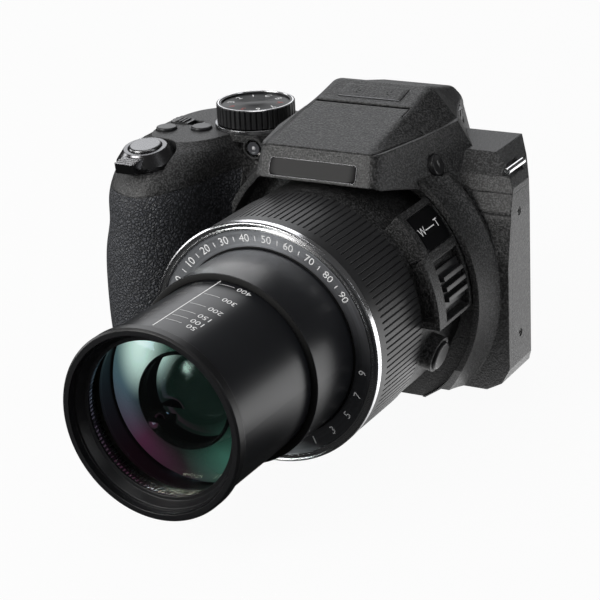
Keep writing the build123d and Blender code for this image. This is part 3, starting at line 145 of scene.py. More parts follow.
def makeFloor():
    # camera rays see it white, mirrored rays see a pale card behind and to the right
    mesh = bpy.data.meshes.new("studioFloor")
    half, height = floorLook["half"], floorLook["height"]
    corners = [(-half, -half), (half, -half), (half, half), (-half, half)]
    mesh.from_pydata([(x, y, height) for x, y in corners], [], [(0, 1, 2, 3)])
    floor = bpy.data.objects.new("studioFloor", mesh)
    bpy.context.collection.objects.link(floor)
    mat = bpy.data.materials.new("paleFloor")
    mat.use_nodes = True
    tree = mat.node_tree
    tree.nodes.clear()
    out = tree.nodes.new("ShaderNodeOutputMaterial")
    path = tree.nodes.new("ShaderNodeLightPath")
    paint = tree.nodes.new("ShaderNodeBsdfDiffuse")
    white = tree.nodes.new("ShaderNodeEmission")
    card = tree.nodes.new("ShaderNodeEmission")
    spot = tree.nodes.new("ShaderNodeTexCoord")
    parts = tree.nodes.new("ShaderNodeSeparateXYZ")
    level = floorLook["paint"]
    paint.inputs["Color"].default_value = (level, level, level, 1)
    tree.links.new(spot.outputs["Object"], parts.inputs[0])
    power = tree.nodes.new("ShaderNodeMath")
    power.operation = "MULTIPLY"
    for index, start, end in zip((0, 1), floorLook["cardStart"], floorLook["cardEnd"]):
        edge = tree.nodes.new("ShaderNodeMapRange")
        edge.interpolation_type = "SMOOTHSTEP"
        edge.inputs["From Min"].default_value = start
        edge.inputs["From Max"].default_value = end
        tree.links.new(parts.outputs[index], edge.inputs["Value"])
        tree.links.new(edge.outputs["Result"], power.inputs[index])
    strength = tree.nodes.new("ShaderNodeMath")
    strength.operation = "MULTIPLY_ADD"
    strength.inputs[1].default_value = floorLook["card"]
    strength.inputs[2].default_value = floorLook["cardLeast"]
    tree.links.new(power.outputs[0], strength.inputs[0])
    tree.links.new(strength.outputs[0], card.inputs["Strength"])
    share = tree.nodes.new("ShaderNodeMath")
    share.operation = "MULTIPLY"
    share.inputs[1].default_value = floorLook["white"]
    tree.links.new(path.outputs["Is Camera Ray"], share.inputs[0])
    mixed = mixByRay(tree, path.outputs["Is Glossy Ray"], paint.outputs[0], card.outputs[0])
    mixed = mixByRay(tree, share.outputs[0], mixed, white.outputs[0])
    tree.links.new(mixed, out.inputs[0])
    mesh.materials.append(mat)


makeFloor()
bpy.context.scene.view_settings.view_transform = "Standard"
print("studio ready")


# Materials
def startMaterial(name, colour, rough, metal=0.0):
    mat = bpy.data.materials.new(name)
    mat.use_nodes = True
    tree = mat.node_tree
    skin = tree.nodes["Principled BSDF"]
    skin.inputs["Base Color"].default_value = (*colour, 1)
    skin.inputs["Roughness"].default_value = rough
    skin.inputs["Metallic"].default_value = metal
    place = tree.nodes.new("ShaderNodeTexCoord")
    return mat, tree, skin, place.outputs["Object"]


def addNoise(tree, place, scale, detail=3.0, rough=0.55):
    noise = tree.nodes.new("ShaderNodeTexNoise")
    noise.inputs["Scale"].default_value = scale
    noise.inputs["Detail"].default_value = detail
    noise.inputs["Roughness"].default_value = rough
    tree.links.new(place, noise.inputs["Vector"])
    return noise.outputs["Fac"]


def addRamp(tree, value, stops):
    ramp = tree.nodes.new("ShaderNodeValToRGB")
    band = ramp.color_ramp
    while len(band.elements) < len(stops):
        band.elements.new(0.5)
    for element, (spot, colour) in zip(band.elements, stops):
        element.position = spot
        element.color = (*colour, 1)
    tree.links.new(value, ramp.inputs["Fac"])
    return ramp.outputs["Color"]


def addRange(tree, value, low, high):
    ranged = tree.nodes.new("ShaderNodeMapRange")
    ranged.inputs["To Min"].default_value = low
    ranged.inputs["To Max"].default_value = high
    tree.links.new(value, ranged.inputs["Value"])
    return ranged.outputs["Result"]


def addTone(tree, skin, value, colour, lighter):
    # from the colour to a lighter one, by the value
    light = tuple(min(1.0, c * lighter) for c in colour)
    tree.links.new(addRamp(tree, value, [(0.3, colour), (0.8, light)]), skin.inputs["Base Color"])


def addRough(tree, skin, value, low, high):
    tree.links.new(addRange(tree, value, low, high), skin.inputs["Roughness"])


def addBump(tree, skin, height, strength, depth, soften=0.0, under=None):
    bump = tree.nodes.new("ShaderNodeBump")
    bump.inputs["Strength"].default_value = strength
    bump.inputs["Distance"].default_value = depth
    tree.links.new(height, bump.inputs["Height"])
    if under is not None:
        tree.links.new(under, bump.inputs["Normal"])
    elif soften:
        bevel = tree.nodes.new("ShaderNodeBevel")
        bevel.samples = 4
        bevel.inputs["Radius"].default_value = soften
        tree.links.new(bevel.outputs["Normal"], bump.inputs["Normal"])
    tree.links.new(bump.outputs["Normal"], skin.inputs["Normal"])
    return bump.outputs["Normal"]


bodyLook = dict(
    dark=(0.004, 0.004, 0.0042),
    light=(0.062, 0.062, 0.063),
    stops=(0.44, 0.66),  # of the grain, where it is dark and where light
    grain=1900,
    fine=2.4,  # how many times finer the second grain is
    depth=0.00026,
    bumps=(0.75, 0.30),  # of the first and second grain
    rough=(0.34, 0.58),
    soften=0.0006,
)


def makePebbledPlastic(name):
    look = bodyLook
    mat, tree, skin, place = startMaterial(name, look["dark"], 0.5)
    coarse = addNoise(tree, place, look["grain"], 2.0, 0.6)
    fine = addNoise(tree, place, look["grain"] * look["fine"], 2.0, 0.6)
    tones = list(zip(look["stops"], (look["dark"], look["light"])))
    tree.links.new(addRamp(tree, coarse, tones), skin.inputs["Base Color"])
    addRough(tree, skin, fine, *look["rough"])
    under = addBump(tree, skin, coarse, look["bumps"][0], look["depth"], look["soften"])
    addBump(tree, skin, fine, look["bumps"][1], look["depth"] * 0.5, under=under)
    return mat


rubberLook = dict(
    dark=(0.009, 0.010, 0.012),
    light=(0.055, 0.058, 0.068),
    cell=1000,
    crease=0.32,  # distance from a cell's edge where its top begins
    wander=500,
    shift=0.0011,  # how far the cells' edges wander, m
    depth=0.00034,
    fine=4200,
    fineDepth=0.00006,
    bumps=(0.8, 0.35),
    rough=(0.42, 0.66),
)


def makeGripRubber(name):
    look = rubberLook
    mat, tree, skin, place = startMaterial(name, look["dark"], 0.55)
    wander = tree.nodes.new("ShaderNodeTexNoise")
    wander.inputs["Scale"].default_value = look["wander"]
    wander.inputs["Detail"].default_value = 2
    tree.links.new(place, wander.inputs["Vector"])
    shift = tree.nodes.new("ShaderNodeVectorMath")
    shift.operation = "MULTIPLY_ADD"
    shift.inputs[1].default_value = [look["shift"]] * 3
    tree.links.new(wander.outputs["Color"], shift.inputs[0])
    tree.links.new(place, shift.inputs[2])
    cells = tree.nodes.new("ShaderNodeTexVoronoi")
    cells.feature = "DISTANCE_TO_EDGE"
    cells.inputs["Scale"].default_value = look["cell"]
    tree.links.new(shift.outputs[0], cells.inputs["Vector"])
    ranged = tree.nodes.new("ShaderNodeMapRange")
    ranged.inputs["From Max"].default_value = look["crease"]
    tree.links.new(cells.outputs["Distance"], ranged.inputs["Value"])
    grain = ranged.outputs["Result"]
    fine = addNoise(tree, place, look["fine"], 2.0)
    tones = [(0.0, look["dark"]), (1.0, look["light"])]
    tree.links.new(addRamp(tree, grain, tones), skin.inputs["Base Color"])
    addRough(tree, skin, fine, *look["rough"])
    under = addBump(tree, skin, grain, look["bumps"][0], look["depth"])
    addBump(tree, skin, fine, look["bumps"][1], look["fineDepth"], under=under)
    return mat


satinLook = dict(cloud=60, lighter=1.25, smoother=0.05, rougher=0.06, bump=0.12, depth=0.00003)


def makeSatin(name, colour, rough, metal=0.0, soften=0.0004, grain=5200):
    look = satinLook
    mat, tree, skin, place = startMaterial(name, colour, rough, metal)
    fine = addNoise(tree, place, grain, 2.0)
    soft = addNoise(tree, place, look["cloud"], 2.0)
    addTone(tree, skin, soft, colour, look["lighter"])
    addRough(tree, skin, fine, rough - look["smoother"], rough + look["rougher"])
    addBump(tree, skin, fine, look["bump"], look["depth"], soften)
    return mat


def addPolar(tree, place):
    # radius and turn about the lens axis, and the place along it
    parts = tree.nodes.new("ShaderNodeSeparateXYZ")
    tree.links.new(place, parts.inputs[0])
    drop = tree.nodes.new("ShaderNodeMath")
    drop.operation = "SUBTRACT"
    drop.inputs[1].default_value = lensZ
    tree.links.new(parts.outputs["Z"], drop.inputs[0])
    turn = tree.nodes.new("ShaderNodeMath")
    turn.operation = "ARCTAN2"
    tree.links.new(drop.outputs[0], turn.inputs[0])
    tree.links.new(parts.outputs["X"], turn.inputs[1])
    pair = tree.nodes.new("ShaderNodeCombineXYZ")
    tree.links.new(parts.outputs["X"], pair.inputs[0])
    tree.links.new(drop.outputs[0], pair.inputs[1])
    size = tree.nodes.new("ShaderNodeVectorMath")
    size.operation = "LENGTH"
    tree.links.new(pair.outputs[0], size.inputs[0])
    return size.outputs["Value"], turn.outputs[0], parts.outputs["Y"]


turnedLook = dict(
    slow=0.0006,  # keeps a scratch nearly the same all the way round
    lighter=1.3,
    smoother=0.06,
    rougher=0.08,
    depth=0.00004,
    soften=0.0003,
)


def makeTurnedMetal(name, colour, rough, lines, bump):
    look = turnedLook
    mat, tree, skin, place = startMaterial(name, colour, rough, 1.0)
    radius, turn, along = addPolar(tree, place)
    polar = tree.nodes.new("ShaderNodeCombineXYZ")
    tree.links.new(radius, polar.inputs[0])
    tree.links.new(along, polar.inputs[1])
    slow = tree.nodes.new("ShaderNodeMath")
    slow.operation = "MULTIPLY"
    slow.inputs[1].default_value = look["slow"]
    tree.links.new(turn, slow.inputs[0])
    tree.links.new(slow.outputs[0], polar.inputs[2])
    scratch = addNoise(tree, polar.outputs[0], lines, 3.0)
    addTone(tree, skin, scratch, colour, look["lighter"])
    addRough(tree, skin, scratch, rough - look["smoother"], rough + look["rougher"])
    addBump(tree, skin, scratch, bump, look["depth"], look["soften"])
    return mat


glassLook = dict(ior=1.5, filmIor=1.38, dust=900, rougher=0.015)


def makeGlass(name, tint, film=0.0, rough=0.0):
    look = glassLook
    mat, tree, skin, place = startMaterial(name, tint, rough)
    skin.inputs["Transmission Weight"].default_value = 1.0
    skin.inputs["IOR"].default_value = look["ior"]
    if film:
        skin.inputs["Thin Film Thickness"].default_value = film
        skin.inputs["Thin Film IOR"].default_value = look["filmIor"]
    dust = addNoise(tree, place, look["dust"], 3.0)
    addRough(tree, skin, dust, rough, rough + look["rougher"])
    return mat


paintedReflectionLook = dict(
    # painted reflections by turn about the lens axis, as a share from the left through the bottom, and
    # colour
    paintedTints=[
        (0.00, (0.070, 0.110, 0.145)),
        (0.12, (0.075, 0.018, 0.045)),
        (0.22, (0.022, 0.012, 0.016)),
        (0.34, (0.045, 0.130, 0.100)),
        (0.45, (0.006, 0.018, 0.012)),
        (0.62, (0.006, 0.024, 0.016)),
        (0.76, (0.030, 0.100, 0.065)),
        (0.88, (0.110, 0.190, 0.165)),
        (1.00, (0.070, 0.110, 0.145)),
    ],
    base=(0.01, 0.02, 0.015),
    rough=0.16,
    middle=(0.004, 0.009, 0.007, 1),
    dark=8.0,  # radius up to which the middle is painted dark as shade, in mm as the painted highlight's place and reach
    full=18.5,  # radius from which the painted reflection tint is full
    # a painted highlight at the upper left: its place, reach, squash and colour
    paintedHighlight=(-13.0, 0.0, 44.5),
    paintedHighlightReach=9.5,
    paintedHighlightSquash=(1.0, 0.0, 0.72),
    paintedHighlightColour=(0.80, 0.95, 0.90),
    # how strongly the painted colours glow, though the element is no lamp
    paintedGlow=1.0,
    coat=0.6,
    coatRough=0.12,
)


def makePaintedReflections(name):
    # curved glass deep in the lens with painted reflections: their tint changes round the axis, the middle
    # is painted dark as shade, a painted highlight is mixed in, and the colours glow
    look = paintedReflectionLook
    mat, tree, skin, place = startMaterial(name, look["base"], look["rough"])
    radius, turn, _ = addPolar(tree, place)
    share = tree.nodes.new("ShaderNodeMapRange")
    share.inputs["From Min"].default_value = -math.pi
    share.inputs["From Max"].default_value = math.pi
    tree.links.new(turn, share.inputs["Value"])
    tint = addRamp(tree, share.outputs["Result"], look["paintedTints"])
    fade = tree.nodes.new("ShaderNodeMapRange")
    fade.interpolation_type = "SMOOTHSTEP"
    fade.inputs["From Min"].default_value = look["dark"] * mm
    fade.inputs["From Max"].default_value = look["full"] * mm
    tree.links.new(radius, fade.inputs["Value"])
    blend = tree.nodes.new("ShaderNodeMix")
    blend.data_type = "RGBA"  # its colours are inputs 6 and 7 and output 2
    blend.inputs[6].default_value = look["middle"]
    tree.links.new(fade.outputs["Result"], blend.inputs[0])
    tree.links.new(tint, blend.inputs[7])
    # painted highlight: a pale blob by the distance from its place
    offset = tree.nodes.new("ShaderNodeVectorMath")
    offset.operation = "SUBTRACT"
    offset.inputs[1].default_value = [c * mm for c in look["paintedHighlight"]]
    tree.links.new(place, offset.inputs[0])
    squash = tree.nodes.new("ShaderNodeVectorMath")
    squash.operation = "MULTIPLY"
    squash.inputs[1].default_value = look["paintedHighlightSquash"]
    tree.links.new(offset.outputs[0], squash.inputs[0])
    distance = tree.nodes.new("ShaderNodeVectorMath")
    distance.operation = "LENGTH"
    tree.links.new(squash.outputs[0], distance.inputs[0])
    near = tree.nodes.new("ShaderNodeMapRange")
    near.interpolation_type = "SMOOTHSTEP"
    near.inputs["From Min"].default_value = look["paintedHighlightReach"] * mm
    near.inputs["From Max"].default_value = 0.0
    tree.links.new(distance.outputs["Value"], near.inputs["Value"])
    paintedHighlight = tree.nodes.new("ShaderNodeMix")
    paintedHighlight.data_type = "RGBA"
    paintedHighlight.inputs[7].default_value = (*look["paintedHighlightColour"], 1)
    tree.links.new(near.outputs["Result"], paintedHighlight.inputs[0])
    tree.links.new(blend.outputs[2], paintedHighlight.inputs[6])
    tree.links.new(paintedHighlight.outputs[2], skin.inputs["Base Color"])
    # the painted reflections and highlight also glow, though the element is no lamp
    tree.links.new(paintedHighlight.outputs[2], skin.inputs["Emission Color"])
    skin.inputs["Emission Strength"].default_value = look["paintedGlow"]
    skin.inputs["Coat Weight"].default_value = look["coat"]
    skin.inputs["Coat Roughness"].default_value = look["coatRough"]
    return mat


blackLook = dict(mirror=0.12, grain=3000, smoother=0.04, rougher=0.05)


def makePlainBlack(name, colour, rough):
    # a dark face that mirrors little of the lamps
    look = blackLook
    mat, tree, skin, place = startMaterial(name, colour, rough)
    skin.inputs["Specular IOR Level"].default_value = look["mirror"]
    fine = addNoise(tree, place, look["grain"], 2.0)
    addRough(tree, skin, fine, rough - look["smoother"], rough + look["rougher"])
    return mat


mats = dict(
    body_plastic=makePebbledPlastic("pebbledBodyPlastic"),
    grip_rubber=makeGripRubber("leatherGrainRubber"),
    eyecup_rubber=makeSatin("eyecupRubber", (0.010, 0.010, 0.010), 0.7, grain=2600),
    barrel_satin=makeSatin("satinBarrel", (0.010, 0.0105, 0.0125), 0.30),
    ribbed_plastic=makeSatin("ribbedSleevePlastic", (0.022, 0.022, 0.023), 0.38, soften=0.0002),
    front_rim_satin=makeSatin("frontRimBlack", (0.006, 0.006, 0.007), 0.36, soften=0.0003),
    trim_chrome=makeTurnedMetal("polishedTrim", (0.85, 0.85, 0.88), 0.18, 900, 0.03),
    gunmetal=makeTurnedMetal("gunmetalFace", (0.46, 0.47, 0.50), 0.46, 2200, 0.10),
    front_coated_glass=makeGlass("coatedFrontGlass", (0.86, 0.96, 0.92), film=115),
    inner_glass=makeGlass("innerGlass", (0.90, 0.93, 0.94), film=130),
    lens_group_black=makeSatin("lensCellBlack", (0.006, 0.006, 0.006), 0.6),
    base_metal=makeSatin("plainSheetMetal", (0.45, 0.45, 0.44), 0.4, 1.0),
    motor_steel=makeSatin("motorCanSteel", (0.5, 0.5, 0.52), 0.3, 1.0),
    sensor_package=makeSatin("sensorCeramic", (0.09, 0.09, 0.10), 0.4),
    circuit_board=makeSatin("boardLacquer", (0.015, 0.10, 0.045), 0.35),
    screen_glass=makeSatin("screenGlass", (0.004, 0.004, 0.005), 0.10, grain=600),
    screen_module=makeSatin("screenModule", (0.02, 0.02, 0.022), 0.3),
    dial_plastic=makeSatin("dialPlastic", (0.010, 0.010, 0.011), 0.36, soften=0.0002),
    dial_foot_metal=makeSatin("dialFootMetal", (0.30, 0.30, 0.31), 0.25, 1.0),
    control_plastic=makeSatin("controlPlastic", (0.013, 0.013, 0.014), 0.34),
    zoom_ring_metal=makeSatin("zoomRingMetal", (0.16, 0.16, 0.165), 0.22, 1.0),
    shutter_metal=makeSatin("shutterButtonMetal", (0.20, 0.20, 0.205), 0.26, 1.0),
    flash_lens=makeGlass("flashLens", (0.95, 0.95, 0.93), rough=0.15),
    lamp_lens=makeGlass("lampLens", (0.95, 0.93, 0.92)),
    pin_steel=makeSatin("plainSteel", (0.5, 0.5, 0.5), 0.3, 1.0),
    strap_metal=makeSatin("polishedStrapMetal", (0.75, 0.75, 0.76), 0.15, 1.0),
    screw_black=makeSatin("blackedScrew", (0.05, 0.05, 0.05), 0.35, 1.0),
    tray_plastic=makeSatin("trayPlastic", (0.03, 0.03, 0.03), 0.5),
    cell_jacket=makeSatin("cellJacket", (0.10, 0.10, 0.11), 0.3),
)
inks = dict(
    white=makeSatin("whiteInk", (0.80, 0.80, 0.80), 0.6, soften=0.0),
    grey=makeSatin("greyInk", (0.16, 0.16, 0.16), 0.5, soften=0.0),
    red=makeSatin("redInk", (0.30, 0.030, 0.018), 0.5, soften=0.0),
    # deep black for the light seals and stop ring, and as painted shade in microphone holes and screw
    # recesses
    black=makeSatin("deepBlack", (0.002, 0.002, 0.002), 0.8, soften=0.0),
    gloss=makePlainBlack("glossPlate", (0.004, 0.004, 0.0045), 0.30),
    bright=makeSatin("brightTrim", (0.72, 0.72, 0.73), 0.18, 1.0, soften=0.0),
    # a pale dull grey, not metal: painted reflection standing for the shine of the lamp's reflector
    reflector=makeSatin("lampReflectorPaintedShine", (0.42, 0.42, 0.43), 0.22, soften=0.0),
    bowl=makeSatin("lampBowl", (0.055, 0.056, 0.062), 0.20, soften=0.0),
    paintedReflections=makePaintedReflections("lensPaintedReflections"),
)


def dressNodes():
    slots = {row["node"]: row["material_slot"] for row in frame["record"]["subparts"]}
    for node, ob in frame["nodes"].items():
        mat = mats[slots[node]]
        ob.data.materials.clear()
        ob.data.materials.append(mat)
        for face in ob.data.polygons:
            face.material_index = 0


dressNodes()
print("nodes dressed")


# Tools for the pieces
skins = {}
castStart = 0.05  # m before the place asked for, where a cast line starts


def skinOf(node):
    if node not in skins:
        mesh = frame["nodes"][node].data
        corners = [v.co for v in mesh.vertices]
        skins[node] = BVHTree.FromPolygons(corners, [f.vertices for f in mesh.polygons])
    return skins[node]


def castOn(nodes, start, aim):
    # nearest point and normal of the nodes that a line from start meets
    best = None
    for node in nodes:
        spot, normal, _, far = skinOf(node).ray_cast(start, aim)
        if spot is not None and (best is None or far < best[2]):
            best = (spot, normal, far)
    return best


def castPlace(nodes, origin, right, up, aim, lift):
    # places flat points on the nodes, seen along aim
    origin, right, up, aim = Vector(origin), Vector(right), Vector(up), Vector(aim)

    def place(u, v):
        start = (origin + right * u + up * v) * mm - aim * castStart
        found = castOn(nodes, start, aim)
        if found is None:
            return (origin + right * u + up * v) * mm
        return found[0] - aim * (lift * mm)
    return place


def flatPlace(origin, right, up):
    origin, right, up = Vector(origin), Vector(right).normalized(), Vector(up).normalized()
    return lambda u, v: (origin + right * u + up * v) * mm


def tubeSpot(radius, turn, along):
    return Vector((radius * math.cos(turn), along, lensZ / mm + radius * math.sin(turn))) * mm


def addMesh(name, verts, faces, mat, body, smooth=True):
    mesh = bpy.data.meshes.new(name)
    mesh.from_pydata(verts, [], faces)
    mesh.materials.append(mat)
    for face in mesh.polygons:
        face.use_smooth = smooth
    mesh.update()
    ob = bpy.data.objects.new(name, mesh)
    bpy.context.collection.objects.link(ob)
    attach(ob, body)
    return ob


def letterShape(words, size):
    curve = bpy.data.curves.new("lettering", "FONT")
    curve.body = words
    curve.size = size
    curve.align_x = "CENTER"
    curve.align_y = "CENTER"
    curve.resolution_u = 3
    ob = bpy.data.objects.new("lettering", curve)
    bpy.context.collection.objects.link(ob)
    bpy.context.view_layer.update()
    mesh = bpy.data.meshes.new_from_object(ob.evaluated_get(bpy.context.evaluated_depsgraph_get()))
    verts = [(v.co.x, v.co.y) for v in mesh.vertices]
    faces = [tuple(f.vertices) for f in mesh.polygons]
    bpy.data.objects.remove(ob)
    bpy.data.curves.remove(curve)
    bpy.data.meshes.remove(mesh)
    return verts, faces


def barShape(low, high, steps=1):
    # a strip from low to high, cut across its length
    (x0, y0), (x1, y1) = low, high
    verts = []
    for i in range(steps + 1):
        x = x0 + (x1 - x0) * i / steps
        verts += [(x, y0), (x, y1)]
    faces = [(2 * i, 2 * i + 2, 2 * i + 3, 2 * i + 1) for i in range(steps)]
    return verts, faces


def discShape(radius, centre=(0, 0), steps=24):
    turns = [math.tau * i / steps for i in range(steps)]
    verts = [(centre[0] + radius * math.cos(t), centre[1] + radius * math.sin(t)) for t in turns]
    return verts, [tuple(range(steps))]


def padShape(wide, tall, corner, across=10, rows=14):
    # a rectangle with rounded corners, as rows of small faces
    verts = []
    for j in range(rows + 1):
        v = -math.cos(math.pi * j / rows) * tall / 2
        over = max(0.0, abs(v) - (tall / 2 - corner))
        half = wide / 2 - corner + math.sqrt(max(0.0, corner ** 2 - over ** 2))
        verts += [((2 * i / across - 1) * half, v) for i in range(across + 1)]
    wideRow = across + 1
    faces = []
    for j in range(rows):
        for i in range(across):
            first = j * wideRow + i
            faces.append((first, first + 1, first + wideRow + 1, first + wideRow))
    return verts, faces


def rimShape(wide, tall, corner, width, steps=8):
    # the outline of such a rectangle, as a strip of the given width
    ring = []
    for sideX, sideY, start in ((1, 1, 0), (-1, 1, 90), (-1, -1, 180), (1, -1, 270)):
        centre = (sideX * (wide / 2 - corner), sideY * (tall / 2 - corner))
        for i in range(steps + 1):
            turn = math.radians(start + 90 * i / steps)
            ring.append((centre, math.cos(turn), math.sin(turn)))
    outer = [(c[0] + corner * x, c[1] + corner * y) for c, x, y in ring]
    inner = [(c[0] + (corner - width) * x, c[1] + (corner - width) * y) for c, x, y in ring]
    count = len(ring)
    faces = [(i, (i + 1) % count, count + (i + 1) % count, count + i) for i in range(count)]
    return outer + inner, faces


def moveShape(shape, u, v, turn=0.0):
    verts, faces = shape
    c, s = math.cos(turn), math.sin(turn)
    return [(u + c * x - s * y, v + s * x + c * y) for x, y in verts], faces


def printMarks(name, shapes, place, mat, body):
    verts, faces = [], []
    for shape in shapes:
        start = len(verts)
        verts += [place(u, v) for u, v in shape[0]]
        faces += [tuple(start + i for i in face) for face in shape[1]]
    return addMesh(name, verts, faces, mat, body, smooth=False)


def makePlate(name, shape, place, thick, mat, body, edge=0.08, inward=1.0):
    # a thin plate on a surface with softened edges
    ob = addMesh(name, [place(u, v) for u, v in shape[0]], shape[1], mat, body)
    solid = ob.modifiers.new("thickness", "SOLIDIFY")
    solid.thickness = thick * mm
    solid.offset = -inward
    soft = ob.modifiers.new("edges", "BEVEL")
    soft.width = edge * mm
    soft.segments = 2
    soft.limit_method = "ANGLE"
    return ob


def makeTurned(name, profile, centre, axis, mat, body, steps=96):
    # profile of (radius, distance along the axis) in mm, turned about the axis
    axis = Vector(axis).normalized()
    side = axis.orthogonal().normalized()
    other = axis.cross(side)
    verts, faces = [], []
    count = len(profile)
    for i in range(steps):
        turn = math.tau * i / steps
        out = side * math.cos(turn) + other * math.sin(turn)
        verts += [(Vector(centre) + out * r + axis * a) * mm for r, a in profile]
    for i in range(steps):
        for j in range(count - 1):
            a = i * count + j
            b = ((i + 1) % steps) * count + j
            faces.append((a, b, b + 1, a + 1))
    return addMesh(name, verts, faces, mat, body)


# Marks on the lens
scaleLook = dict(
    radius=24.34,
    line=(90.5, -118.5, -85.7),  # turn in degrees, front and back end along the barrel
    ticks=(-88.3, -95.6, -102.3, -107.2, -110.6, -113.6),
    numbers=("400", "300", "200", "150", "100", "50"),
    tickTurns=(89.0, 78.5),
    numberTurn=71.7,
    size=2.7,
    faint=(92.0, 99.0),
    faintTurn=104.0,
    faintShare=0.8,  # of the size of the white numbers
    width=0.16,
)


def makeLensScale():
    look = scaleLook
    radius = look["radius"]

    def place(u, v):  # u along the turn in mm, v towards the front
        return tubeSpot(radius, u / radius, -v)
    reach = [math.radians(t) * radius for t in look["tickTurns"]]
    faint = [math.radians(t) * radius for t in look["faint"]]
    turn, front, back = look["line"]
    mid = math.radians(turn) * radius
    width = look["width"]
    bright, dim = [barShape((mid - width, -back), (mid + width, -front))], []
    for along, number in zip(look["ticks"], look["numbers"]):
        bright.append(barShape((reach[1], -along - width / 2), (reach[0], -along + width / 2), 4))
        dim.append(barShape((faint[0], -along - width / 3), (faint[1], -along + width / 3), 3))
        letters = letterShape(number, look["size"])
        bright.append(moveShape(letters, math.radians(look["numberTurn"]) * radius, -along))
        small = letterShape(number, look["size"] * look["faintShare"])
        dim.append(moveShape(small, math.radians(look["faintTurn"]) * radius, -along))
    printMarks("lens_scale_marks", bright, place, inks["white"], "zoom_stage_two")
    printMarks("lens_scale_faint_marks", dim, place, inks["grey"], "zoom_stage_two")


ringLook = dict(
    outer=(31.6, -67.3),  # radius and place along the axis
    inner=(26.8, -66.8),
    middle=29.2,
    lift=0.05,
    size=3.1,
    dash=(0.12, 0.7),  # half its width and half its length
    top=(150, 34, 10),  # first and last turn in degrees, how many numbers
    low=(-62, -8, 5),
)


def makeRingMarks():
    look = ringLook
    middle = look["middle"]
    slope = (look["inner"][1] - look["outer"][1]) / (look["inner"][0] - look["outer"][0])

    def place(u, v):  # u is the turn in mm at the middle, v outward
        radius = middle + v
        along = look["outer"][1] + slope * (radius - look["outer"][0])
        return tubeSpot(radius, u / middle, along - look["lift"])
    marks = []
    thin, tall = look["dash"]
    start, end, count = look["top"]
    for i in range(count):
        turn = math.radians(start + (end - start) * i / (count - 1)) * middle
        verts, faces = letterShape(str(10 * i), look["size"])
        marks.append(([(turn - x, y) for x, y in verts], faces))
        if i < count - 1:
            step = math.radians((end - start) / (count - 1)) * middle
            marks.append(barShape((turn + step / 2 - thin, -tall), (turn + step / 2 + thin, tall)))
    start, end, count = look["low"]
    for i in range(count):
        turn = math.radians(start + (end - start) * i / (count - 1)) * middle
        verts, faces = letterShape(str(2 * i + 1), look["size"])
        marks.append(([(turn + x, -y) for x, y in verts], faces))
    printMarks("name_ring_marks", marks, place, inks["white"], "camera_body")


makeLensScale()
makeRingMarks()


# Inside the lens
innerLook = dict(
    bowlRadius=34.0,
    bowlEdge=22.2,
    bowlFront=-107.4,
    coreRadius=16.0,
    coreEdge=11.0,
    coreFront=-104.4,
    # profiles of radius and place along the axis, the lip's from the bowl's inner edge
    lip=((11.0, 2.0), (11.0, -0.1), (11.25, -0.35), (11.6, -0.3), (11.8, 0.4)),
    seal=((24.42, -86.2), (24.42, -86.5), (24.7, -86.62), (25.9, -86.62), (26.15, -86.45)),
    felt=((26.42, -66.5), (26.42, -66.95), (26.6, -67.0), (26.8, -66.9)),
    threadRadii=(23.24, 23.38),
    threadFront=-123.9,
    threadStep=0.22,
    threadPoints=9,
)


def domeProfile(curve, edge, front, steps=14, inner=0.0):
    points = []
    for i in range(steps + 1):
        radius = inner + (edge - inner) * i / steps
        points.append((max(radius, 0.01), front + curve - math.sqrt(curve ** 2 - radius ** 2)))
    return points


def makeLensInside():
    look = innerLook
    centre, axis, black = (0, 0, lensZ / mm), (0, 1, 0), inks["black"]
    # both inner elements carry painted reflections, painted shade in the middle and a painted highlight, and
    # glow
    bowl = domeProfile(look["bowlRadius"], look["bowlEdge"], look["bowlFront"], inner=look["coreEdge"])
    makeTurned("inner_element_painted_reflections", bowl, centre, axis, inks["paintedReflections"], "zoom_stage_two")
    core = domeProfile(look["coreRadius"], look["coreEdge"], look["coreFront"])
    makeTurned("inner_core_element", core, centre, axis, inks["paintedReflections"], "zoom_stage_two")
    front = bowl[0][1]
    lip = [(radius, front + along) for radius, along in look["lip"]]
    makeTurned("inner_stop_ring", lip, centre, axis, black, "zoom_stage_two")
    thread = []
    for i in range(look["threadPoints"]):
        thread.append((look["threadRadii"][i % 2], look["threadFront"] + look["threadStep"] * i))
    makeTurned("filter_thread", thread, centre, axis, mats["front_rim_satin"], "zoom_stage_two")
    makeTurned("stage_light_seal", look["seal"], centre, axis, black, "zoom_stage_one")
    makeTurned("ring_light_seal", look["felt"], centre, axis, black, "camera_body")


makeLensInside()
print("lens marks and inside made")


# Name plate and microphone plate, both bare, and the side plate with plain letters
def plateBody(nodes, origin, aim):
    # the body of the node that the middle of a plate lies on
    start = Vector(origin) * mm - Vector(aim) * castStart
    near = None
    for node in nodes:
        spot, _, _, far = skinOf(node).ray_cast(start, Vector(aim))
        if spot is not None and (near is None or far < near[1]):
            near = (node, far)
    for body, names in frame["record"]["behaviour"]["bodies"].items():
        if near[0] in names:
            return body


plateLook = dict(
    middle=(-0.8, 72.2),  # x and z, cast back from the front
    size=(26.4, 4.5),
    corner=0.9,
    rim=0.16,
    rimGap=0.15,
    rimEdge=0.04,
    thick=0.3,
    lift=0.18,
    rimLift=0.24,
)


